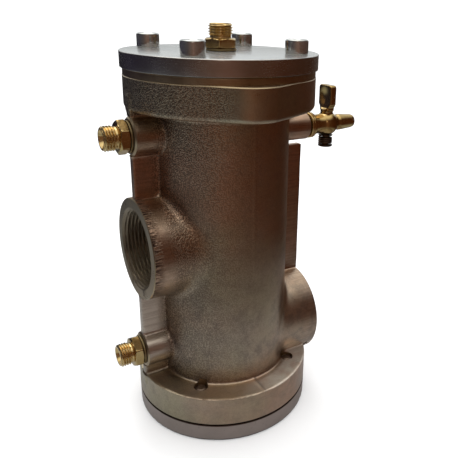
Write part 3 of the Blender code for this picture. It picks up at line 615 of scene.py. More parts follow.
# The cover carries a painted contact shadow at its bottom edge and a painted shade line under its joint with
# the flange
cover_bronze = turned_metal(
    "cover_bronze", (0.47, 0.38, 0.33), (0.55, 0.45, 0.40), (0.34, 0.46), foot=1.3, brim=COVER_TOP_Z
)
lid_metal = turned_metal("lid_metal", (0.48, 0.44, 0.40), (0.56, 0.52, 0.48), (0.2, 0.3), face=LID_TOP_Z)
steel = turned_metal(
    "steel", (0.58, 0.58, 0.55), (0.72, 0.72, 0.68), (0.06, 0.12), strength=0.1, metallic=0.97
)
dull_steel = turned_metal("dull_steel", (0.17, 0.12, 0.09), (0.26, 0.19, 0.14), (0.4, 0.55))
brass = turned_metal("brass", (0.46, 0.31, 0.12), (0.66, 0.47, 0.21), (0.14, 0.26), depth=6, strength=0.2)
# A paler, brighter copy of the brass for the threaded ends: a painted highlight on the threads
highlit_thread_brass = turned_metal(
    "highlit_thread_brass", (0.60, 0.41, 0.17), (0.82, 0.60, 0.28), (0.14, 0.24), strength=0.1, metallic=0.96
)
zinc = turned_metal("zinc", (0.26, 0.19, 0.09), (0.38, 0.29, 0.15), (0.35, 0.5))
stainless = turned_metal("stainless", (0.5, 0.5, 0.49), (0.62, 0.62, 0.6), (0.22, 0.34))
blackened = turned_metal("blackened", (0.07, 0.04, 0.028), (0.13, 0.08, 0.055), (0.28, 0.42))
rubber = rubber_material()
woven = woven_material()
casting = [bronze, bronze_cut, bore_bronze]


# Housing


def housing_field(step):
    """Distance field of the casting before machining, and the grid's lowest corner."""
    low = (-60.0, -66.0, 7.0)
    high = (65.0, 66.0, 221.0)
    x, y, z = grid(low, high, step, np.float32)
    radial = np.hypot(x, y)
    tube = np.maximum(radial - TUBE_RADIUS, np.abs(z - 114) - 105)
    body = blend_min(tube, stub(x, y, z, PORT_RADIUS, INLET_Z, INLET_X - 1.5, -20, 1.2), 4.5)
    body = blend_min(body, stub(x, y, z, PORT_RADIUS, OUTLET_Z, 20, OUTLET_X + 1.5, 1.2), 3)
    inlet_rib = (np.abs(x + 38.7) - (-INLET_RIB_X - 38.7), np.abs(z - 113) - 90)
    outlet_rib = (np.abs(x - 38.5) - (OUTLET_RIB_X - 38.5), np.abs(z - OUTLET_RIB_TOP_Z + 58) - 58)
    for rib in (inlet_rib, outlet_rib):
        body = blend_min(body, rounded_box((np.abs(y) - RIB_HALF, *rib), 0.7), 1.2)
    for height in (UPPER_BOSS_Z, LOWER_BOSS_Z):
        body = blend_min(body, stub(x, y, z, BOSS_RADIUS, height, INLET_X - 1.5, -20, 1), 1.6)
    body = blend_min(body, stub(x, y, z, COCK_BOSS_RADIUS, COCK_Z, 20, COCK_FACE_X + 1.5, 1), 1.6)
    base = np.maximum(rounded_edge(radial - BASE_FLANGE_RADIUS, z - BASE_FLANGE_TOP_Z, 0.5), 9 - z)
    body = blend_min(body, base, 2.2)
    cos, sin = math.cos(LUG_ANGLE), math.sin(LUG_ANGLE)
    along = x * cos + y * sin
    across = x * sin - y * cos
    plan = tapered_hull(across, np.abs(along), TOP_FLANGE_RADIUS, LUG_RADIUS - 0.06, LUG_REACH)
    head = rounded_edge(plan, TOP_FLANGE_BOTTOM_Z - z, LUG_EDGE)
    head = np.maximum(head, rounded_edge(plan, z - TOP_FLANGE_CAST_Z - 1.2, 0.5))
    body = blend_min(body, head, 4)
    return body, low


def stub(x, y, z, radius, height, start, end, edge):
    """A round stub along X."""
    middle = (start + end) / 2
    return rounded_edge(np.hypot(y, z - height) - radius, np.abs(x - middle) - (end - start) / 2, edge)


def read_vectors(items, name):
    """An array of a mesh's points or normals."""
    found = np.empty(len(items) * 3)
    items.foreach_get(name, found)
    return found.reshape(-1, 3)


def roughen(obj, moves):
    """Moves vertices along their normals by noise, given as (wavelength, height) in millimetres."""
    mesh = obj.data
    places = read_vectors(mesh.vertices, "co")
    normals = read_vectors(mesh.vertex_normals, "vector")
    shift = np.zeros(len(places))
    for wavelength, height in moves:
        scaled = places / (wavelength * MM)
        shift += height * MM * np.array([noise.noise(Vector(p)) for p in scaled])
    places += normals * shift[:, None]
    mesh.vertices.foreach_set("co", places.ravel())
    mesh.update()


def port_cutter(name, face_x, height, along):
    """A port's bore with its pipe thread and chamfered mouth, open past its face at height 0."""

    def limit(z):
        return max(PORT_CREST, PORT_ROOT + 0.9 + z)

    points = [(0, -36), (20.5, -36), (20.5, -22.4), (PORT_CREST, -21.6)]
    points += thread(limit, -21.2, -0.1, PORT_PITCH, PORT_CREST, PORT_ROOT)
    points += [(PORT_ROOT + 0.9, 0), (PORT_ROOT + 2.0, 1.2), (0, 1.2)]
    return place(revolve(name, points, casting, 120, 2), (face_x, 0, height), along)


def hole_cutter(name, radius, depth, passage, end, at, along):
    """A tapped hole with a narrower passage behind it."""
    points = [(0, -end), (passage, -end), (passage, -depth), (radius, -depth), (radius, 1), (0, 1)]
    return place(revolve(name, points, casting, 36, 1), at, along)


def face_cutter(name, at, along, radius, bevel):
    """Leaves a flat face behind it and a small bevel round the face's rim."""
    rim = radius + 0.5
    points = [(0, 0), (radius - bevel, 0), (radius + 0.3, -bevel - 0.3), (rim, -bevel - 0.3), (rim, 0)]
    points += [(radius + 5, 0), (radius + 5, 6), (0, 6)]
    return place(revolve(name, points, casting, 96, 1), at, along)


def head_outline(offset, height, count=240):
    """Points round the top flange's outline, moved outward by an offset."""
    reach = Vector(on_circle(LUG_ANGLE, 1)) * LUG_REACH
    circles = [(Vector((0, 0)), TOP_FLANGE_RADIUS), (reach, LUG_RADIUS), (-reach, LUG_RADIUS)]
    points = []
    for i in range(count):
        way = Vector(on_circle(TURN * i / count, 1))
        centre, radius = max(circles, key=lambda circle: circle[0].dot(way) + circle[1])
        points.append((*(centre + way * (radius + offset)), height))
    return points


def head_bevel():
    """All that stays of the casting when the top flange's upper edge is bevelled."""
    top = TOP_FLANGE_CAST_Z
    levels = [(30, 0), (30, top - 1.05), (0.45, top - 1.05), (-0.55, top - 0.05), (-0.55, top + 2)]
    rings = [head_outline(offset, z) for offset, z in levels]
    count = len(rings[0])
    verts = [point for ring in rings for point in ring]
    loops = [list(range(start, start + count)) for start in range(0, len(verts), count)]
    faces = [loops[0][::-1], loops[-1]]
    for low, high in zip(loops, loops[1:]):
        faces += bridge(low, high)
    obj = mesh_object("head_bevel", verts, faces, casting, index=1)
    outward(obj)
    return obj


def make_housing():
    step = 0.8
    field, low = housing_field(step)
    housing = surface("housing_casting", field, low, step, casting)
    roughen(housing, ((16, 0.14), (6, 0.03)))
    carve(housing, [rod("above_cut", 75, TOP_FLANGE_CAST_Z, 225, casting, 160, 1)])
    carve(housing, [head_bevel()], "INTERSECT")
    register = [(0, 207), (REGISTER_RADIUS, 207), (REGISTER_RADIUS, BODY_TOP_Z, 0.5), (0, BODY_TOP_Z)]
    carve(housing, [revolve("register", register, casting, 200, 1)], "UNION")
    underside = [
        (0, 0), (75, 0), (75, BODY_BOTTOM_Z + 1.5),
        (BASE_FLANGE_RADIUS + 0.5, BODY_BOTTOM_Z + 1.5),
        (BASE_FLANGE_RADIUS - 1.1, BODY_BOTTOM_Z - 0.1), (0, BODY_BOTTOM_Z),
    ]
    chambers = [
        (0, 5), (BORE_RADIUS + 1, 5), (BORE_RADIUS + 1, BODY_BOTTOM_Z),
        (BORE_RADIUS, BODY_BOTTOM_Z + 1), (BORE_RADIUS, WEB_BOTTOM_Z, 2),
        (WEB_HOLE_RADIUS, WEB_BOTTOM_Z, 0.5), (WEB_HOLE_RADIUS, WEB_TOP_Z, 0.6),
        (BORE_RADIUS, WEB_TOP_Z, 1), (BORE_RADIUS, BODY_TOP_Z - 1),
        (BORE_RADIUS + 1, BODY_TOP_Z), (BORE_RADIUS + 1, 225), (0, 225),
    ]
    edge = BASE_FLANGE_RADIUS
    top = BASE_FLANGE_TOP_Z
    foot_bevel = [(edge - 0.5, top + 0.1), (edge + 0.6, top - 1.0), (edge + 3, top - 1.0)]
    foot_bevel += [(edge + 3, top + 1), (edge - 0.5, top + 1)]
    cuts = [
        revolve("underside_cut", underside, casting, 160, 1),
        revolve("chamber_cut", chambers, casting, 128, 1),
        revolve("foot_bevel", foot_bevel, casting, 200, 1),
        face_cutter("inlet_face", (INLET_X, 0, INLET_Z), "-X", PORT_RADIUS, 0.4),
        face_cutter("outlet_face", (OUTLET_X, 0, OUTLET_Z), "+X", PORT_RADIUS, 0.4),
        face_cutter("upper_face", UPPER_BOSS, "-X", BOSS_RADIUS, 0.9),
        face_cutter("lower_face", LOWER_BOSS, "-X", BOSS_RADIUS, 0.9),
        face_cutter("cock_face", COCK_FACE, "+X", COCK_BOSS_RADIUS, 0.6),
        port_cutter("inlet_cut", INLET_X, INLET_Z, "-X"),
        port_cutter("outlet_cut", OUTLET_X, OUTLET_Z, "+X"),
        hole_cutter("upper_hole", 6.6, 13, 3.5, 30, UPPER_BOSS, "-X"),
        hole_cutter("lower_hole", 6.6, 13, 3.5, 30, LOWER_BOSS, "-X"),
        hole_cutter("cock_hole", 4.9, 12, COCK_BORE_RADIUS, 32, COCK_FACE, "+X"),
    ]
    for number, angle in enumerate(SCREW_ANGLES, 1):
        x, y = on_circle(angle)
        top = [(0, 198), (4.1, 199.5)]
        top += thread(lambda z: max(4.1, 4.6 + z - BODY_TOP_Z), 199.6, BODY_TOP_Z, 1.25, 4.1, 4.6, 6)
        top += [(5.6, BODY_TOP_Z + 1), (0, BODY_TOP_Z + 1)]
        cuts.append(place(revolve(f"lid_hole_{number}", top, casting, 32, 1), (x, y, 0)))
        cuts.append(place(rod(f"cover_hole_{number}", 4.3, 5, 33, casting, 32, 1), (x, y, 0)))
    carve(housing, cuts)
    surface_masks(housing)
    return stand_for(housing, "housing_body", "bronze", "housing")


def surface_masks(obj):
    """Where the casting shows its moulded grain, streaks from rubbing down, stains and its parting seam, with
    a painted highlight on the base flange's top rim and painted floor light low on the inlet rib.
    """
    mesh = obj.data
    x, y, z = read_vectors(mesh.vertices, "co").T / MM
    side = np.abs(x) * (np.abs(y) < 31)
    rubbed = np.clip((side - 41) / 6, 0, 1) * (z < 193) * (z > 31)
    base = np.clip((32 - z) / 2, 0, 1)
    tip = np.clip((np.abs(y) - 52) / 6, 0, 1) * (z > 193)
    across = (RIGHT[0] * x + RIGHT[1] * y) / np.maximum(np.hypot(x, y), 1)
    grain = np.clip(0.5 - 0.6 * across, 0.14, 0.95)
    peel = grain * np.clip(1 - base * 0.8 - rubbed * 0.75 - tip * 0.75, 0.05, 1)
    stain = np.clip((130 - z) / 80, 0, 1) * 0.7 * (1 - base * 0.7)
    seam = np.clip(1.5 - np.abs(x), 0, 1) * (y < 0) * (0.25 + 0.75 * base)
    rim = np.hypot(y, z - INLET_Z)
    burr = np.clip((-49.5 - x) / 5.5, 0, 1) * (rim > PORT_ROOT + 1.5) * (rim < PORT_RADIUS + 2)
    # Painted highlight along the base flange's top rim, brighter to the right
    lit_rim = np.clip((z - 29.3) / 0.5, 0, 1) * (z < 31) * np.clip((np.hypot(x, y) - 42) / 3, 0, 1)
    lit_rim *= np.clip((x + 25) / 35, 0.15, 1)
    # Painted floor light low on the inlet rib
    pale = rubbed * (x < 0) * np.clip((110 - z) / 25, 0, 1) * np.clip((z - 44) / 6, 0, 1)
    streak = rubbed * 0.9 + base * 0.25
    names = ("peel", "streak", "stain", "pale", "seam", "burr", "lit_rim")
    for name, values in zip(names, (peel, streak, stain, pale, seam, burr, lit_rim)):
        mesh.attributes.new(name, "FLOAT", "POINT").data.foreach_set("value", values.astype(np.float32))


# Covers, seals and screws


def screw_cutters(name, points, finish):
    """Four copies of a cutter, on the circle of the screws."""
    made = [revolve(f"{name}_{number}", points, [finish], 48) for number in range(1, 5)]
    return [place(cutter, (*on_circle(angle), 0)) for cutter, angle in zip(made, SCREW_ANGLES)]


def make_lid():
    points = [
        (6.58, 214.3, 0.3), (33.7, 214.3, 0.6), (33.7, LID_BOTTOM_Z),
        (35.6, LID_BOTTOM_Z, 0.15), (35.6, LID_BOTTOM_Z + 2.2, 0.2),
        (38.4, LID_BOTTOM_Z + 2.2, 0.2), (38.4, LID_BOTTOM_Z, 0.15),
        (LID_RADIUS, LID_BOTTOM_Z, 0.2), (LID_RADIUS, LID_TOP_Z, 0.75), (7.4, LID_TOP_Z),
        (6.58, LID_TOP_Z - 0.8),
    ]
    lid = revolve("lid_turned", points, [lid_metal], 200)
    top = LID_TOP_Z
    hole = [(0, 216), (4.5, 216), (4.5, top - 0.4), (5.2, top + 0.3), (5.2, 228), (0, 228)]
    carve(lid, screw_cutters("lid_clearance", hole, lid_metal))
    return stand_for(lid, "lid_body", "machined", "lid")


def make_bottom_cover():
    radius = BASE_FLANGE_RADIUS
    points = [
        (0, 0), (radius - 0.2, 0, 1.6), (radius, COVER_TOP_Z, 0.7),
        (38.4, COVER_TOP_Z, 0.15), (38.4, 8.7, 0.2), (35.6, 8.7, 0.2),
        (35.6, COVER_TOP_Z, 0.15), (33.7, COVER_TOP_Z), (33.7, 13.9, 0.5), (0, 13.9),
    ]
    cover = revolve("bottom_cover_turned", points, [cover_bronze], 200)
    hole = [(0, -1), (8.3, -1), (8.3, 0.3), (4.5, 4.1), (4.5, 12), (0, 12)]
    carve(cover, screw_cutters("countersink", hole, cover_bronze))
    return stand_for(cover, "housing_body", "bronze", "bottom_cover")


def make_seal(name, radius, section, height, body, node):
    ring = [on_circle(TURN * i / 20, section) for i in range(20)]
    points = [(radius + x, height + y) for x, y in ring]
    return stand_for(revolve(name, points, [rubber], 96), body, "rubber", node)


def make_lid_screw(number, angle):
    points = [(0, -25), (3.1, -25, 0.2)]
    points += thread(lambda z: min(4.0, 3.2 + (z + 25)), -24.9, -3, 1.25, 3.95, 3.3, 8)
    points += [
        (4.0, -2.6), (4.0, 0.02), (6.3, 0.02, 0.1), (6.5, 0.3, 0.1), (6.5, 8, 1.25),
        (3.85, 8, 0.12), (3.5, 7.72, 0, ("hex", 6.0)), (3.5, 4.0, 0, ("hex", 6.0)), (0, 3.0),
    ]
    screw = revolve(f"cap_screw_{number}", points, [steel], hex_angles(60), sharp=35, steps=6)
    place(screw, (*on_circle(angle), LID_TOP_Z + 0.02), spin=0.4 + 1.1 * number)
    return stand_for(screw, f"lid_screw_{number}_body", "steel", f"lid_screw_{number}")


def make_bottom_screw(number, angle):
    tip = BASE_FLANGE_TOP_Z - 0.3
    points = [(0, 3.3), (2.9, 3.3, 0, ("hex", 5.0)), (2.9, 0.5, 0, ("hex", 5.0))]
    points += [(3.2, 0.3), (7.6, 0.3, 0.1), (7.7, 0.6, 0.1), (4.0, 4.3), (4.0, 7)]
    points += thread(lambda z: min(4.0, 3.0 + (tip - 0.5 - z)), 7.1, tip - 0.6, 1.25, 3.95, 3.3, 8)
    points += [(2.9, tip - 0.5, 0.3), (2.2, tip, 0.5), (0, tip)]
    screw = revolve(f"countersunk_screw_{number}", points, [dull_steel], hex_angles(48), sharp=35)
    place(screw, (*on_circle(angle), 0), spin=0.7 * number)
    return stand_for(screw, "housing_body", "steel", f"bottom_screw_{number}")


# Couplings


def make_nipple(node, body, at, along):
    """A coupling: stud, hexagon, undercut and a threaded tube end with a coned mouth."""
    points = [(3.2, -9), (5.3, -9, 0.3)]
    points += thread(lambda z: min(6.25, 5.4 + (z + 9)), -8.9, -0.2, 1.337, 6.25, 5.6, 6)
    points += [(5.6, 0.2), (5.6, 1.6)]
    points += hexagon(17.0, 1.6, 7.0, 0.97, 0.93)
    points += [(6.1, 7.0, 0.4), (5.95, 8.2, 0.3)]
    points += thread(lambda z: min(6.9, 5.9 + (z - 8.1), 5.95 + (15.0 - z)), 8.3, 14.9, 1.5, 6.9, 6.0, 10)
    points += [(5.9, 15, 0.15), (5.0, 15, 0.1), (3.2, 11, 0.1)]
    nipple = revolve(f"{node}_turned", points, [brass, highlit_thread_brass], hex_angles(66), sharp=30)
    # The threaded end and mouth get the paler brass copy, a painted highlight
    for polygon in nipple.data.polygons:
        polygon.material_index = int(polygon.center.z > 7.2 * MM)
    place(nipple, at, along)
    stand_for(nipple, body, "brass", node)
    ring = washer(f"{node}_seal", 6.7, 9, 0.3, 1.3, (0.15, 0.25), zinc, at, along, 64)
    stand_for(ring, body, "zinc", f"{node}_washer")


# Vent cock


def make_cock():
    ball = COCK_BALL_X - COCK_FACE_X
    nozzle = COCK_NOZZLE_X - COCK_FACE_X
    points = [(COCK_BORE_RADIUS, -10), (4.0, -10, 0.3)]
    points += thread(lambda z: min(4.6, 4.1 + (z + 10)), -9.9, -0.1, 0.907, 4.6, 4.1, 6)
    points += [
        (4.2, 0.2), (4.2, 1.3), (8.0, 1.3, 0.3), (8.4, 1.8, 0.3), (8.4, 2.5, 0.15),
        (7.9, 2.8, 0.15), (7.9, 3.1, 0.15), (8.4, 3.4, 0.2), (8.3, 5.0, 0.5),
        (6.6, 5.5, 0.5), (6.35, 9.0, 2.0),
    ]
    radius = 8.0
    start = math.acos(6.5 / radius)
    end = math.acos(5.2 / radius)
    for i in range(25):
        a = -start + (end + start) * i / 24
        points.append((radius * math.cos(a), ball + radius * math.sin(a)))
    points += [
        (4.95, ball + 7.4, 0.8), (5.4, ball + 9.2, 0.8), (5.2, ball + 12.5, 2.0),
        (4.6, nozzle - 2.2, 1.2), (4.1, nozzle - 0.3, 0.9), (3.0, nozzle, 0.4),
        (COCK_BORE_RADIUS + 0.3, nozzle, 0.2),
    ]
    body = place(revolve("cock_forging", points, [brass], 96, sharp=34), COCK_FACE, "+X")
    hole = [(0, -9), (3.8, -9), (4.7, 9), (0, 9)]
    carve(body, [place(revolve("plug_bore", hole, [brass], 48), (COCK_BALL_X, 0, COCK_Z))])
    stand_for(body, "housing_body", "brass", "cock_body")
    ring = washer("cock_seal", 5.0, 7.0, 0.3, 1.0, (0.1, 0.2), zinc, COCK_FACE, "+X")
    stand_for(ring, "housing_body", "zinc", "cock_seal_washer")
    make_plug()


def make_plug():
    """The taper plug, its dished thumb tab and the spring under it."""
    at = (COCK_BALL_X, 0, COCK_Z)
    step = 0.25
    low = (-8.0, -9.0, 6.0)
    x, y, z = grid(low, (8.0, 9.0, 28.0), step)
    plate = rounded_edge(np.abs(y) - 6.7 + 0 * x, z - 25.4 + 0 * x, 2.2)
    plate = rounded_edge(plate, np.abs(x) - 2.3, 0.8)
    plate = np.maximum(plate, 8.8 - z)
    foot = rounded_edge(np.hypot(x, y) - 4.2, np.abs(z - 8.6) - 1.6, 0.6)
    tab = blend_min(plate, foot, 1.2)
    for side in (-1, 1):
        dish = np.sqrt((x + side * 11.2) ** 2 + (y * 0.94) ** 2 + ((z - 17.6) * 0.85) ** 2) - 10.2
        tab = -blend_min(-tab, dish, 0.9)
        waist = np.hypot(np.abs(y) - 8.6, z - 9.6) - 3.4 + 0 * x
        tab = -blend_min(-tab, waist, 0.8)
    tab = np.maximum(tab, 7.2 - z)
    head = surface("cock_plug_forging", tab, low, step, [brass], 60)
    place(head, at)
    points = [(0, -16), (2.2, -16, 0.4), (2.2, -7.3), (3.5, -7.2, 0.1), (4.2, 7.2)]
    points += [(4.0, 8.6), (0, 8.6)]
    stem = place(revolve("stem", points, [brass], 48), at)
    carve(head, [stem], "UNION")
    cross = rod("cross_hole", COCK_BORE_RADIUS, -9, 9, [brass], 32)
    cross.matrix_world = Matrix.Translation(Vector(at) * MM) @ Matrix.Rotation(math.pi / 2, 4, "X")
    carve(head, [cross])
    stand_for(head, "cock_plug_body", "brass", "cock_plug")
    turns = 3.5
    path = [(*on_circle(TURN * turns * i / 140, 4.2), -8.9 - 4.6 * (i / 140)) for i in range(141)]
    spring = tube("cock_coil", path, 0.6, [blackened])
    stand_for(place(spring, at), "cock_plug_body", "blackened", "cock_spring")
    ring = washer("cock_upper_washer", 2.5, 4.8, -8.2, -7.5, (0.1, 0.2), blackened, at)
    stand_for(ring, "cock_plug_body", "blackened", "cock_spring_washer")
    nut = [(2.5, -15.5, 0.2), (4.8, -15.5, 1.0), (4.8, -14.2, 0.2), (2.5, -14.2, 0.1)]
    nut = place(revolve("cock_end_ring", nut, [blackened], 48), at)
    stand_for(nut, "cock_plug_body", "blackened", "cock_end_nut")


def tube(name, path, radius, materials, sides=14):
    """A round bar along a path in millimetres, with rounded ends."""
    path = np.array(path, float)
    tangents = np.gradient(path, axis=0)
    tangents /= np.linalg.norm(tangents, axis=1)[:, None]
    guide = Vector((0.0, 0.0, 1.0))
    if abs(Vector(tangents[0]).dot(guide)) > 0.9:
        guide = Vector((1.0, 0.0, 0.0))
    angles = np.arange(sides) * TURN / sides
    verts = []
    rings = []
    sections = [(path[0], tangents[0], -s, math.cos(math.asin(s))) for s in (0.95, 0.7, 0.35)]
    sections += [(p, t, 0.0, 1.0) for p, t in zip(path, tangents)]
    sections += [(path[-1], tangents[-1], s, math.cos(math.asin(s))) for s in (0.35, 0.7, 0.95)]
    for point, tangent, shift, share in sections:
        t = Vector(tangent)
        across = t.cross(guide).normalized()
        guide = across.cross(t).normalized()
        start = len(verts)
        for a in angles:
            offset = (across * math.cos(a) + guide * math.sin(a)) * radius * share
            verts.append(tuple(Vector(point) + t * radius * shift + offset))
        rings.append(range(start, start + sides))
    faces = [list(rings[0])[::-1], list(rings[-1])]
    for low, high in zip(rings, rings[1:]):
        faces += bridge(low, high)
    obj = mesh_object(name, verts, faces, materials, 40)
    outward(obj)
    return obj


# Screen element


def quarter_turned(points, quarters):
    """Points turned about the origin by a number of quarter turns."""
    for _ in range(quarters):
        points = [(-v, u) for u, v in points]
    return points


def make_cage():
    """The perforated sheet round the screen, with round holes in even rows, as tiles each with one hole."""
    columns = 24
    rows = 17
    height = CAGE_TOP_Z - CAGE_BOTTOM_Z
    tile_w = TURN / columns
    tile_h = height / rows
    hole = 2.1
    verts = {}
    order = []
    faces = []

    def vertex(layer, angle, z):
        key = (layer, round((angle % TURN) * 1e4) % round(TURN * 1e4), round(z * 1e3))
        if key not in verts:
            radius = (CAGE_RADIUS - 0.8, CAGE_RADIUS)[layer]
            verts[key] = len(order)
            order.append((*on_circle(angle, radius), z))
        return verts[key]

    side = [(-1, -1), (-1 / 3, -1), (1 / 3, -1)]
    border = [turn for quarter in range(4) for turn in quarter_turned(side, quarter)]
    for row in range(rows):
        for column in range(columns):
            middle_a = (column + 0.5) * tile_w
            middle_z = CAGE_BOTTOM_Z + (row + 0.5) * tile_h
            for layer in (0, 1):
                outer = []
                inner = []
                for u, v in border:
                    outer.append(vertex(layer, middle_a + u * tile_w / 2, middle_z + v * tile_h / 2))
                for u, v in border:
                    a = math.atan2(v, u)
                    around = middle_a + hole * math.cos(a) / CAGE_RADIUS
                    inner.append(vertex(layer, around, middle_z + hole * math.sin(a)))
                faces += bridge(outer, inner)
                if layer == 0:
                    below = inner
                else:
                    faces += bridge(inner, below)
    steps = columns * 3
    for z in (CAGE_BOTTOM_Z, CAGE_TOP_Z):
        for i in range(steps):
            a = tile_w * i / 3
            b = tile_w * (i + 1) / 3
            faces.append([vertex(0, a, z), vertex(0, b, z), vertex(1, b, z), vertex(1, a, z)])
    cage = mesh_object("perforated_cage", order, faces, [stainless], 35)
    outward(cage)
    return stand_for(cage, "screen_body", "stainless", "screen_cage")


def make_element():
    make_cage()
    points = [(23.4, CAGE_BOTTOM_Z), (23.9, CAGE_BOTTOM_Z), (23.9, CAGE_TOP_Z), (23.4, CAGE_TOP_Z)]
    stand_for(revolve("woven_screen", points, [woven], 120), "screen_body", "stainless", "screen_mesh")
    points = [
        (0, 188.3), (25.3, 188.3, 0.3), (25.3, 184, 0.2), (26.6, 184, 0.3),
        (26.6, 190.5, 0.8), (20, 190.5), (19.6, 190.1), (0, 190.1),
    ]
    cap = revolve("cap_turned", points, [brass], 96)
    ears = []
    for side in (-1, 1):
        step = 0.3
        low = (-3.0, -5.0, -5.0)
        x, y, z = grid(low, [4.0 - a for a in low], step)
        arch = np.where(z < 0, np.abs(y) - 3.2, np.hypot(y, z) - 3.2)
        ear = rounded_edge(np.maximum(arch, -4.2 - z) + 0 * x, np.abs(x) - 1.5, 0.5)
        shape = surface(f"ear_{side}", ear, low, step, [brass], 60)
        ears.append(place(shape, (side * 13.5, 0, BAIL_PIVOT_Z - 0.2)))
    carve(cap, ears, "UNION")
    carve(cap, [place(rod("ear_hole", 1.55, -18, 18, [brass], 32), (0, 0, BAIL_PIVOT_Z), "+X")])
    stand_for(cap, "screen_body", "brass", "screen_cap")
    points = [
        (19.5, 75, 0.3), (23.6, 75, 0.6), (23.6, 76.8, 0.1), (21.7, 76.8, 0.1),
        (21.7, 79.2, 0.1), (23.6, 79.2, 0.1), (23.6, 82.3), (29, 82.3, 0.3),
        (29, 85.5, 0.6), (26.6, 85.5, 0.3), (26.6, 90, 0.4), (25.3, 90, 0.2), (25.3, 85.5),
        (19.5, 85.5, 0.3),
    ]
    stand_for(revolve("foot_turned", points, [brass], 96), "screen_body", "brass", "screen_foot")
    make_bail()


def make_bail():
    bend = 2.5
    centre = 18.0 - bend

    def bow(height, first, last):
        angles = np.radians(np.arange(first, last, 10))
        return [(centre + bend * math.cos(a), height + bend * math.sin(a)) for a in angles]

    right = [(10.7, 0.0), (12.5, 0.0), (centre, 0.0), *bow(bend, -80, 1), (18.0, 6.0), (18.0, 9.0)]
    right += [*bow(11.5, 0, 91), (9.0, 14.0), (3.0, 14.0)]
    points = [(x, y, 0.0) for x, y in right + [(-x, y) for x, y in reversed(right)]]
    bail = tube("bail_wire", points, 1.25, [stainless], 16)
    stand_for(place(bail, (0, 0, BAIL_PIVOT_Z)), "bail_body", "stainless", "bail_handle")


# Stage


def lay(name, corners, height, finish, hidden):
    """A flat piece of the stage, with the kinds of ray that don't see it."""
    mesh = bpy.data.meshes.new(name)
    mesh.from_pydata([(x, y, 0) for x, y in corners], [], [list(range(len(corners)))])
    mesh.materials.append(finish)
    piece = bpy.data.objects.new(name, mesh)
    bpy.context.scene.collection.objects.link(piece)
    piece.location.z = height
    for ray in hidden:
        setattr(piece, f"visible_{ray}", False)


def make_floor():
    tree = Finish("floor_paper")
    shade = tree.mix(tree.noise(40, 3), rgb(0.86, 0.86, 0.86), rgb(0.88, 0.88, 0.88))
    finish = tree.finish(Base_Color=shade, Roughness=0.9)
    size = 6.0
    lay("floor", [(-size, -size), (size, -size), (size, size), (-size, size)], -0.0002, finish, ["glossy"])


def make_sheet():
    """A disc round the foot that only reflections see, painted with light and shade: pale on the left, dimmer
    on the right and dark outside.
    """
    tree = Finish("sheet_painted_light")
    across = tree.along(tree.place, RIGHT)
    away = tree.length(tree.place)
    # Painted light and shade: pale on the left, dimmer on the right, dark further out and in patches
    shade = tree.mix(tree.span(across, -0.15, 0.15), rgb(0.36, 0.40, 0.43), rgb(0.25, 0.24, 0.24))
    shade = tree.mix(tree.span(away, 0.12, 0.25), shade, rgb(0.05, 0.035, 0.03))
    shade = tree.mix(tree.span(tree.noise(30, 2), 0.4, 0.8, 0, 0.3), shade, rgb(0.1, 0.1, 0.1))
    finish = tree.finish(Base_Color=shade, Roughness=0.9)
    ring = [on_circle(TURN * i / 64, 0.25) for i in range(64)]
    lay("sheet", ring, -0.0001, finish, ["camera", "diffuse", "shadow"])


def soft_light(name, direction, distance, size, power, colour=(1, 1, 1)):
    """A rectangular soft light that looks at the middle of the object."""
    data = bpy.data.lights.new(name, "AREA")
    data.shape = "RECTANGLE"
    data.size, data.size_y = size
    data.energy = power
    data.color = colour
    light = bpy.data.objects.new(name, data)
    target = Vector((0, 0, 0.11))
    back = Vector(direction).normalized()
    light.location = target + back * distance
    light.rotation_mode = "QUATERNION"
    light.rotation_quaternion = back.to_track_quat("Z", "Y")
    light.visible_camera = False
    bpy.context.scene.collection.objects.link(light)
    return light


# Colours of the room at eye height, at shares of a turn that starts behind the object and goes by its left
ROOM = (
    (0.00, (0.16, 0.16, 0.16)),
    (0.06, (0.02, 0.02, 0.024)),
    (0.17, (0.03, 0.026, 0.045)),
    (0.30, (0.035, 0.03, 0.04)),
    (0.39, (0.06, 0.043, 0.04)),
    (0.47, (0.14, 0.08, 0.055)),
    (0.52, (0.185, 0.095, 0.065)),
    (0.58, (0.105, 0.052, 0.032)),
    (0.68, (0.075, 0.028, 0.014)),
    (0.85, (0.05, 0.022, 0.012)),
    (0.94, (0.10, 0.08, 0.07)),
    (0.98, (0.30, 0.29, 0.27)),
    (1.00, (0.16, 0.16, 0.16)),
)


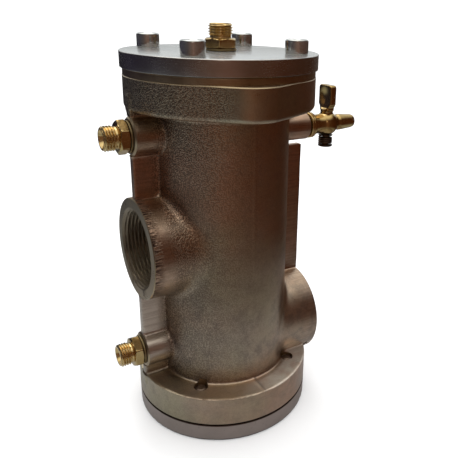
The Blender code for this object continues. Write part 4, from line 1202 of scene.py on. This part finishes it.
def make_world():
    """A pale studio. Reflections see a dim room at eye height, over a pale table, and a white wall behind."""
    world = bpy.data.worlds.new("studio")
    bpy.context.scene.world = world
    world.cycles.sampling_method = "NONE"
    tree = Tree(world)

    def smooth(value, low, high):
        return tree.span(value, low, high, kind="SMOOTHSTEP")

    way = tree.add("ShaderNodeTexCoord").outputs["Generated"]
    up = tree.add("ShaderNodeSeparateXYZ", {0: way}).outputs["Z"]
    front = tree.along(way, FRONT)
    right = tree.along(way, RIGHT)
    turn = tree.span(tree.math("ARCTAN2", right, front), -math.pi, math.pi)
    ramp = tree.add("ShaderNodeValToRGB", {0: turn})
    stops = ramp.color_ramp.elements
    while len(stops) < len(ROOM):
        stops.new(0.5)
    for stop, (position, colour) in zip(stops, ROOM):
        stop.position = position
        stop.color = rgb(*colour)
    back = smooth(front, -0.3, -0.9)
    above = smooth(up, tree.span(back, 0.0, 1.0, 0.5, 0.0), tree.span(back, 0.0, 1.0, 0.95, 0.16))
    below = smooth(up, tree.span(right, -1.0, 0.3, -0.18, -0.40), tree.span(right, -1.0, 0.3, -0.45, -0.85))
    seen = tree.mix(below, ramp.outputs[0], rgb(0.46, 0.53, 0.57))
    seen = tree.mix(above, seen, rgb(0.78, 0.82, 0.84))
    seen = tree.mix(smooth(up, 0.6, 0.97), seen, rgb(1.2, 1.2, 1.15))
    room = tree.add("ShaderNodeBackground", {0: seen, 1: 1.0}).outputs[0]
    white = tree.add("ShaderNodeBackground", {0: rgb(1, 1, 1), 1: 1.5}).outputs[0]
    glossy = tree.add("ShaderNodeLightPath").outputs["Is Glossy Ray"]
    mixed = tree.add("ShaderNodeMixShader", {0: glossy, 1: white, 2: room}).outputs[0]
    tree.links.new(mixed, tree.nodes["World Output"].inputs["Surface"])


def make_camera():
    """The camera, as the photograph's perspective puts it. Its angles are in radians, its place in metres."""
    data = bpy.data.cameras.new("camera")
    data.sensor_width = 36
    data.lens = 44.4
    data.shift_x = -0.135
    data.shift_y = -0.0532
    data.dof.use_dof = False
    camera = bpy.data.objects.new("camera", data)
    bpy.context.scene.collection.objects.link(camera)
    heading = math.radians(34.36)
    pitch = 0.3356
    roll = 0.0339
    level = Vector((math.sin(heading), math.cos(heading), 0))
    forward = level * math.cos(pitch) - Vector((0, 0, math.sin(pitch)))
    right = Vector((math.cos(heading), -math.sin(heading), 0))
    up = right.cross(forward)
    across = right * math.cos(roll) + up * math.sin(roll)
    upward = up * math.cos(roll) - right * math.sin(roll)
    turn = Matrix((across, upward, -forward)).transposed()
    stand = Vector((-0.1520, -0.2984, 0.2504))
    camera.matrix_world = Matrix.Translation(stand) @ turn.to_4x4()
    bpy.context.scene.camera = camera


make_housing()
make_lid()
make_bottom_cover()
make_seal("lid_seal", SEAL_RADIUS, 1.1, 218.25, "lid_body", "lid_o_ring")
make_seal("bottom_seal", SEAL_RADIUS, 1.1, 9.95, "housing_body", "bottom_o_ring")
make_seal("foot_seal", 22.9, 0.9, 78.0, "screen_body", "screen_foot_o_ring")
for number, angle in enumerate(SCREW_ANGLES, 1):
    make_lid_screw(number, angle)
    make_bottom_screw(number, angle)
make_nipple("top_nipple", "lid_body", (0, 0, LID_TOP_Z), "Z")
make_nipple("upper_nipple", "housing_body", UPPER_BOSS, "-X")
make_nipple("lower_nipple", "housing_body", LOWER_BOSS, "-X")
make_cock()
make_element()

make_floor()
make_sheet()
make_world()
make_camera()
soft_light("key", (-0.5, -1.0, 0.6), distance=1.2, size=(0.14, 0.3), power=0.25, colour=(1.0, 0.93, 0.84))
soft_light("top", (0.1, 0.5, 1.0), distance=1.1, size=(0.8, 0.8), power=3.0)
bpy.context.scene.view_settings.view_transform = "Standard"
